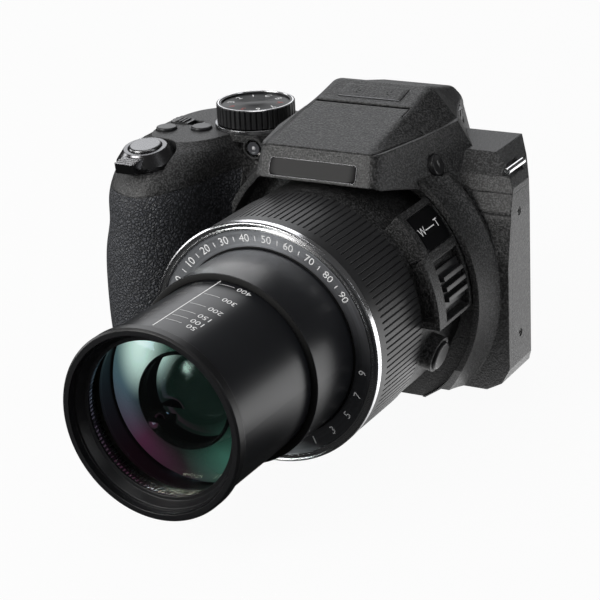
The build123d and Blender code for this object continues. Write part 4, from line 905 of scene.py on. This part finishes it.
def makeNamePlate():
    look = plateLook
    origin = (look["middle"][0], 0, look["middle"][1])
    nodes = ["flash_head", "top_cover", "front_cover"]
    right, up, aim = (1, 0, 0), (0, 0, 1), (0, 1, 0)
    body = plateBody(nodes, origin, aim)
    wide, tall = look["size"]
    gap, thick = look["rimGap"], look["thick"]
    place = castPlace(nodes, origin, right, up, aim, look["lift"])
    plate = padShape(wide, tall, look["corner"])
    makePlate("bare_name_plate", plate, place, thick, inks["gloss"], body)
    rimPlace = castPlace(nodes, origin, right, up, aim, look["rimLift"])
    rim = rimShape(wide + 2 * gap, tall + 2 * gap, look["corner"] + gap, look["rim"])
    makePlate("name_plate_rim", rim, rimPlace, thick, mats["zoom_ring_metal"], body,
              edge=look["rimEdge"])


crestLook = dict(
    middle=(0.0, 1.3, 80),  # the last is a height above the roof, to cast down from
    size=(20.0, 6.8),
    corner=0.8,
    thick=0.25,
    edge=0.06,
    lift=0.12,
    holes=((-4.9, -0.9), (-4.3, 0.0), (-5.2, 0.6)),  # on the left, mirrored on the right
    holeRadius=0.28,
    holeLift=0.14,
    line=((-9.6, -3.5), (9.6, -3.28)),
    lineLift=0.16,
)


def makeCrestPlate():
    look = crestLook
    origin = look["middle"]
    nodes = ["top_cover", "flash_head"]
    right, up, aim = (1, 0, 0), (0, 1, 0), (0, 0, -1)
    body = plateBody(nodes, origin, aim)
    place = castPlace(nodes, origin, right, up, aim, look["lift"])
    plate = padShape(*look["size"], look["corner"])
    makePlate("microphone_plate", plate, place, look["thick"], mats["body_plastic"], body,
              edge=look["edge"])
    marks = []
    for side in (1, -1):
        marks += [discShape(look["holeRadius"], (side * x, y), 16) for x, y in look["holes"]]
    # the holes are black discs: painted shade inside them
    dark = castPlace(nodes, origin, right, up, aim, look["holeLift"])
    printMarks("microphone_holes_painted_shade", marks, dark, inks["black"], body)
    bright = castPlace(nodes, origin, right, up, aim, look["lineLift"])
    line = barShape(*look["line"], 8)
    printMarks("microphone_plate_edge", [line], bright, mats["zoom_ring_metal"], body)


podLook = dict(
    radius=38.22,
    turns=(29.8, 45.1),  # degrees
    along=(-35.7, -20.8),
    corner=1.0,
    thick=0.25,
    letters=(("W", 3.4, -4.4), ("T", 3.4, 4.4)),  # letter, size, place
    dash=(2.6, 0.14),  # half its length and half its width
    markLift=0.30,
)


def makePodPlate():
    look = podLook
    radius = look["radius"]
    middle = math.radians(sum(look["turns"]) / 2) * radius
    centre = sum(look["along"]) / 2
    tall = math.radians(look["turns"][1] - look["turns"][0]) * radius
    wide = look["along"][1] - look["along"][0]

    def place(u, v):
        return tubeSpot(radius, (middle + v) / radius, centre + u)
    plate = padShape(wide, tall, look["corner"])
    makePlate("side_scale_plate", plate, place, look["thick"], inks["gloss"],
              "camera_body", inward=-1.0)
    long, thin = look["dash"]
    marks = [barShape((-long, -thin), (long, thin))]
    for letter, size, spot in look["letters"]:
        marks.append(moveShape(letterShape(letter, size), spot, 0))
    raised = radius + look["markLift"]

    def onTop(u, v):
        return tubeSpot(raised, (middle + v) / radius, centre + u)
    printMarks("side_scale_marks", marks, onTop, inks["white"], "camera_body")


makeNamePlate()
makeCrestPlate()
makePodPlate()
print("plates made")


# Top controls
dialLook = dict(
    centre=(-40.7, 4.4),
    top=76.95,
    face=((0.01, 0.12), (3.2, 0.12), (3.3, 0.06), (9.5, 0.06), (9.9, -0.02)),  # radius, height over the top
    ring=((10.75, 77.30), (10.75, 77.52), (10.95, 77.62), (11.25, 77.58), (11.40, 77.38)),
    marks=("A", "B", "C", "1", "2", "3", "4", "5", "6", "7"),
    red=(0, 6, 7),
    size=3.0,
    reach=7.3,
    firstTurn=0.3,  # radians
    markLift=0.10,
)


def makeDialFace():
    look = dialLook
    x, y = look["centre"]
    axis = (0, 0, 1)
    face = [(radius, look["top"] + height) for radius, height in look["face"]]
    makeTurned("dial_face", face, (x, y, 0), axis, inks["gloss"], "mode_dial")
    makeTurned("dial_bright_ring", look["ring"], (x, y, 0), axis, inks["bright"], "mode_dial")
    place = flatPlace((x, y, look["top"] + look["markLift"]), (1, 0, 0), (0, 1, 0))
    plain, red = [], []
    count = len(look["marks"])
    for i, letter in enumerate(look["marks"]):
        turn = math.tau * i / count + look["firstTurn"]
        spot = moveShape(letterShape(letter, look["size"]), look["reach"] * math.cos(turn),
                         look["reach"] * math.sin(turn), turn - math.pi / 2)
        (red if i in look["red"] else plain).append(spot)
    printMarks("dial_marks", plain, place, inks["white"], "mode_dial")
    printMarks("dial_red_marks", red, place, inks["red"], "mode_dial")


lampLook = dict(
    place=(-35.5, 66.7),  # x and z
    front=-60,  # y in front of the lamp, to cast back from
    radius=2.6,
    # profiles of radius and height, the bezel's from the lamp's radius
    bezel=((0.05, -0.1), (0.05, 0.22), (0.25, 0.36), (0.55, 0.32), (0.75, 0.12), (0.85, -0.1)),
    bowl=((0.60, 0.04), (0.9, 0.06), (1.4, 0.12), (1.7, 0.24), (1.95, 0.20)),
    bead=((0.01, 0.30), (0.25, 0.27), (0.45, 0.18), (0.60, 0.03)),
    steps=(48, 40, 32),
)


def makeLampParts():
    look = lampLook
    x, z = look["place"]
    start = Vector((x, look["front"], z)) * mm
    found = castOn(["af_lamp_lens", "top_cover", "front_cover"], start, Vector((0, 1, 0)))
    spot, normal = found[0] / mm, found[1]
    axis = normal if normal.y < 0 else -normal
    steps = look["steps"]
    bezel = [(look["radius"] + out, height) for out, height in look["bezel"]]
    makeTurned("lamp_bezel", bezel, spot, axis, mats["control_plastic"], "camera_body",
               steps[0])
    makeTurned("lamp_bowl", look["bowl"], spot, axis, inks["bowl"], "camera_body", steps[1])
    # the reflector's bead is pale grey paint standing for its shine: a painted reflection
    makeTurned("lamp_reflector", look["bead"], spot, axis, inks["reflector"], "camera_body",
               steps[2])


topLook = dict(
    power=(-61.5, -0.8, 90),  # the last is a height above the deck, to cast down from
    words=(("OFF", -4.6, 0.4), ("ON", 4.2, 0.4)),
    size=1.5,
    lift=0.04,
)
boltLook = dict(
    # on the flash button, whose face leans out of the hump's flank
    place=(25.2, -12, 69.5),
    up=(-0.340, 0, 0.940),
    lean=70.1,  # degrees
    outline=[(-0.5, 1.2), (0.35, 1.2), (0.0, 0.25), (0.5, 0.25), (-0.35, -1.3), (-0.02, -0.2), (-0.5, -0.2)],
    faces=[(0, 1, 2, 6), (6, 2, 3, 5), (5, 3, 4)],
)


def makeTopMarks():
    look, lift = topLook, topLook["lift"]
    place = castPlace(["top_cover"], look["power"], (1, 0, 0), (0, 1, 0), (0, 0, -1), lift)
    marks = []
    for word, u, v in look["words"]:
        marks.append(moveShape(letterShape(word, look["size"]), u, v))
    printMarks("power_marks", marks, place, inks["white"], "camera_body")
    bolt = (boltLook["outline"], boltLook["faces"])
    lean = math.radians(boltLook["lean"])
    aim = Vector((-math.sin(lean), 0, -math.cos(lean)))
    side = castPlace(["flash_button"], boltLook["place"], (0, 1, 0), boltLook["up"], aim, lift)
    printMarks("flash_button_mark", [bolt], side, inks["grey"], "flash_button")


makeDialFace()
makeLampParts()
makeTopMarks()
print("top controls marked")


# Back and screws
backLook = dict(
    behind=60,  # y behind the back, to cast forward from
    lift=0.04,
    screen=((3.25, 32.5), (58.5, 43.6)),  # x and z of its middle, width and height
    borderCorner=0.8,
    borderWidth=0.35,
    borderLift=0.03,
    pad=(-49.5, 29.0),
    arrow=[(-0.8, -0.5), (0.8, -0.5), (0, 0.7)],
    arrowReach=7.6,
    marks=(
        # node, which is also its body, place in x and z, what is printed, size
        ("playback_button", (-38, 47), "play", 1.0),
        ("movie_button", (-55, 51), "dot", 1.1),
        ("back_button", (-38, 11), "BACK", 1.5),
        ("display_button", (-55.5, 11), "DISP", 1.5),
        ("menu_button", (-49.5, 29), "OK", 2.2),
    ),
)


def makeBackMarks():
    look = backLook

    def backPlace(node, spot, lift):
        x, z = spot
        return castPlace([node], (x, look["behind"], z), (-1, 0, 0), (0, 0, 1), (0, -1, 0), lift)
    for node, spot, words, size in look["marks"]:
        place = backPlace(node, spot, look["lift"])
        if words == "play":
            shape = ([(-0.8 * size, -size), (-0.8 * size, size), (size, 0)], [(0, 1, 2)])
        elif words == "dot":
            shape = discShape(size)
        else:
            shape = letterShape(words, size)
        ink = inks["red"] if words == "dot" else inks["white"]
        printMarks(node + "_mark", [shape], place, ink, node)
    place = backPlace("selector_pad", look["pad"], look["lift"])
    arrow = (look["arrow"], [(0, 1, 2)])
    reach = look["arrowReach"]
    arrows = []
    for i in range(4):
        turn = math.pi / 2 * i
        arrows.append(moveShape(arrow, -reach * math.sin(turn), reach * math.cos(turn), turn))
    printMarks("pad_arrows", arrows, place, inks["white"], "selector_pad")
    middle, (wide, tall) = look["screen"]
    place = backPlace("screen_window", middle, look["borderLift"])
    border = rimShape(wide, tall, look["borderCorner"], look["borderWidth"])
    printMarks("screen_border", [border], place, inks["grey"], "camera_body")


def patchBoxes(node):
    # lowest and highest corner of each connected patch of a node's mesh
    mesh = frame["nodes"][node].data
    owner = list(range(len(mesh.vertices)))

    def top(i):
        while owner[i] != i:
            owner[i] = owner[owner[i]]
            i = owner[i]
        return i
    for edge in mesh.edges:
        a, b = top(edge.vertices[0]), top(edge.vertices[1])
        if a != b:
            owner[a] = b
    groups = {}
    for vertex in mesh.vertices:
        groups.setdefault(top(vertex.index), []).append(vertex.co)
    boxes = []
    for points in groups.values():
        low = Vector([min(p[i] for p in points) for i in range(3)]) / mm
        high = Vector([max(p[i] for p in points) for i in range(3)]) / mm
        boxes.append((low, high))
    return sorted(boxes, key=lambda pair: tuple(pair[0]))


crossLook = dict(length=1.3, width=0.36, lift=0.02)


def makeScrewCrosses():
    # a screw's mesh is three patches, so its head gets two crosses in one place, its hidden end one
    half, thin, lift = crossLook["length"] / 2, crossLook["width"] / 2, crossLook["lift"]
    # the crosses are black marks: painted shade in the cross recesses
    cross = [barShape((-half, -thin), (half, thin)), barShape((-thin, -half), (thin, half))]
    for number, (low, high) in enumerate(patchBoxes("case_screws")):
        middle = (low + high) / 2
        size = high - low
        if size.x < size.z:
            place = flatPlace((high.x + lift, middle.y, middle.z), (0, 1, 0), (0, 0, 1))
        else:
            place = flatPlace((middle.x, middle.y, low.z - lift), (1, 0, 0), (0, 1, 0))
        printMarks("screw_cross_painted_shade_" + str(number), cross, place, inks["black"], "camera_body")


makeBackMarks()
makeScrewCrosses()
print("back and screws marked")
